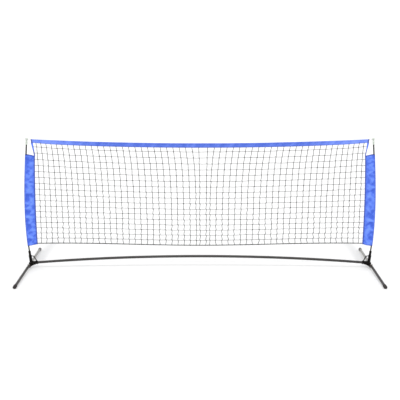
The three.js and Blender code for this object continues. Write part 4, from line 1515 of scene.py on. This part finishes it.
# %% Edge tape
def edge_tape():
    rows, width = [], []
    for share in np.linspace(-0.04, 1.03, 64):
        z = tape_rows[-1][2] + (tape_rows[0][2] - tape_rows[-1][2]) * share
        inner, outer = float(tape_inner(z)), float(tape_outer(z))
        half = (outer - inner) / 2 * (1 - 0.12 * math.sin(math.pi * min(max(share, 0), 1)))
        low_down = min(max((share - 0.3) / 0.75, 0), 1)
        twist = math.radians(8 + 28 * math.sin(math.pi * low_down) ** 1.5)
        bow = 2.5 * MM * math.sin(math.pi * share)
        row = []
        for t in np.linspace(-1, 1, 11):
            curl = 1.1 * MM * t * t
            row.append(((inner + outer) / 2 + half * t * math.cos(twist) - curl * math.sin(twist),
                        half * t * math.sin(twist) + curl * math.cos(twist) - bow, z))
        rows.append(row)
        width.append(2 * half)
    return np.array(rows), float(np.mean(width))


tape_grid, tape_width = edge_tape()
# Painted shade: the lower part of the tape, where its twist turns it edge-on, is painted darker.
tape_painted_shade = np.clip((np.linspace(0, 1, len(tape_grid))[:, None] - 0.4) / 0.35, 0, 0.9)
tape = cloth_strip("edge_tape_cloth_right", tape_grid, tape_width, 0.8 * MM, seam_and_painted_shade=tape_painted_shade)
tape_left = for_both_ends(tape, blue_cloth, "blue_fabric", "edge_tape")

# %% Tabs that close the band, with bar tacks
def end_tab():
    fold = smooth_line([(-9, -2.6, 0), (-4, -2.9, 0), (0.6, -2.2, 0), (1.9, 0, 0), (0.6, 2.2, 0),
                        (-4, 2.9, 0), (-9, 2.6, 0)], 4)[:, :2] * MM
    rows = []
    for share in np.linspace(0.02, 0.98, 26):
        drop = BAND_HEIGHT * share
        base = band_point(np.array(band_end - 2 * MM), np.array(0.0), np.array(drop))
        fat = 1.25 if share < 0.25 else 1.0
        rows.append([(base[0] + a, base[1] + b * fat, base[2]) for a, b in fold])
    return np.array(rows), measured(fold)


tab_grid, tab_width = end_tab()
tab = cloth_strip("band_end_tab_right", tab_grid, tab_width, 0.7 * MM)
tab_left = for_both_ends(tab, seam_cloth, "blue_fabric", "")


def bar_tack(middle, along, across_way, out, length=7 * MM, wide=2.2 * MM):
    """A zigzag of thread that is sewn over itself to stop a seam from tearing."""
    t = np.linspace(-1, 1, 29)
    zig = np.where(np.arange(29) % 2, 1, -1)
    return middle + np.outer(t * length / 2, along) + np.outer(zig * wide / 2, across_way) + out


tacks = []
for front in (-1, 1):
    for drop, where in ((5 * MM, 4), (31 * MM, 5)):
        spot = band_point(np.array(band_end - where * MM), np.array(0.0), np.array(drop))
        out = np.array([0, front * 4.0 * MM, 0])
        tacks.append(bar_tack(spot, np.array([0, 0, 1.0]), np.array([1.0, 0, 0]), out))
    for z, inset in ((inner_low, 5 * MM), (inner_top, -5 * MM)):
        corner = np.array([float(sleeve_x(z)) + 5 * MM, front * 2.7 * MM, z + inset])
        tacks.append(bar_tack(corner, np.array([0, 0, 1.0]), np.array([1.0, 0, 0]), np.zeros(3)))
bar_tacks = strands("bar_tacks_right", tacks, 0.4 * MM, 5)
for_both_ends(bar_tacks, navy_thread, "blue_fabric", "")
print("bar tacks:", 2 * len(tacks))
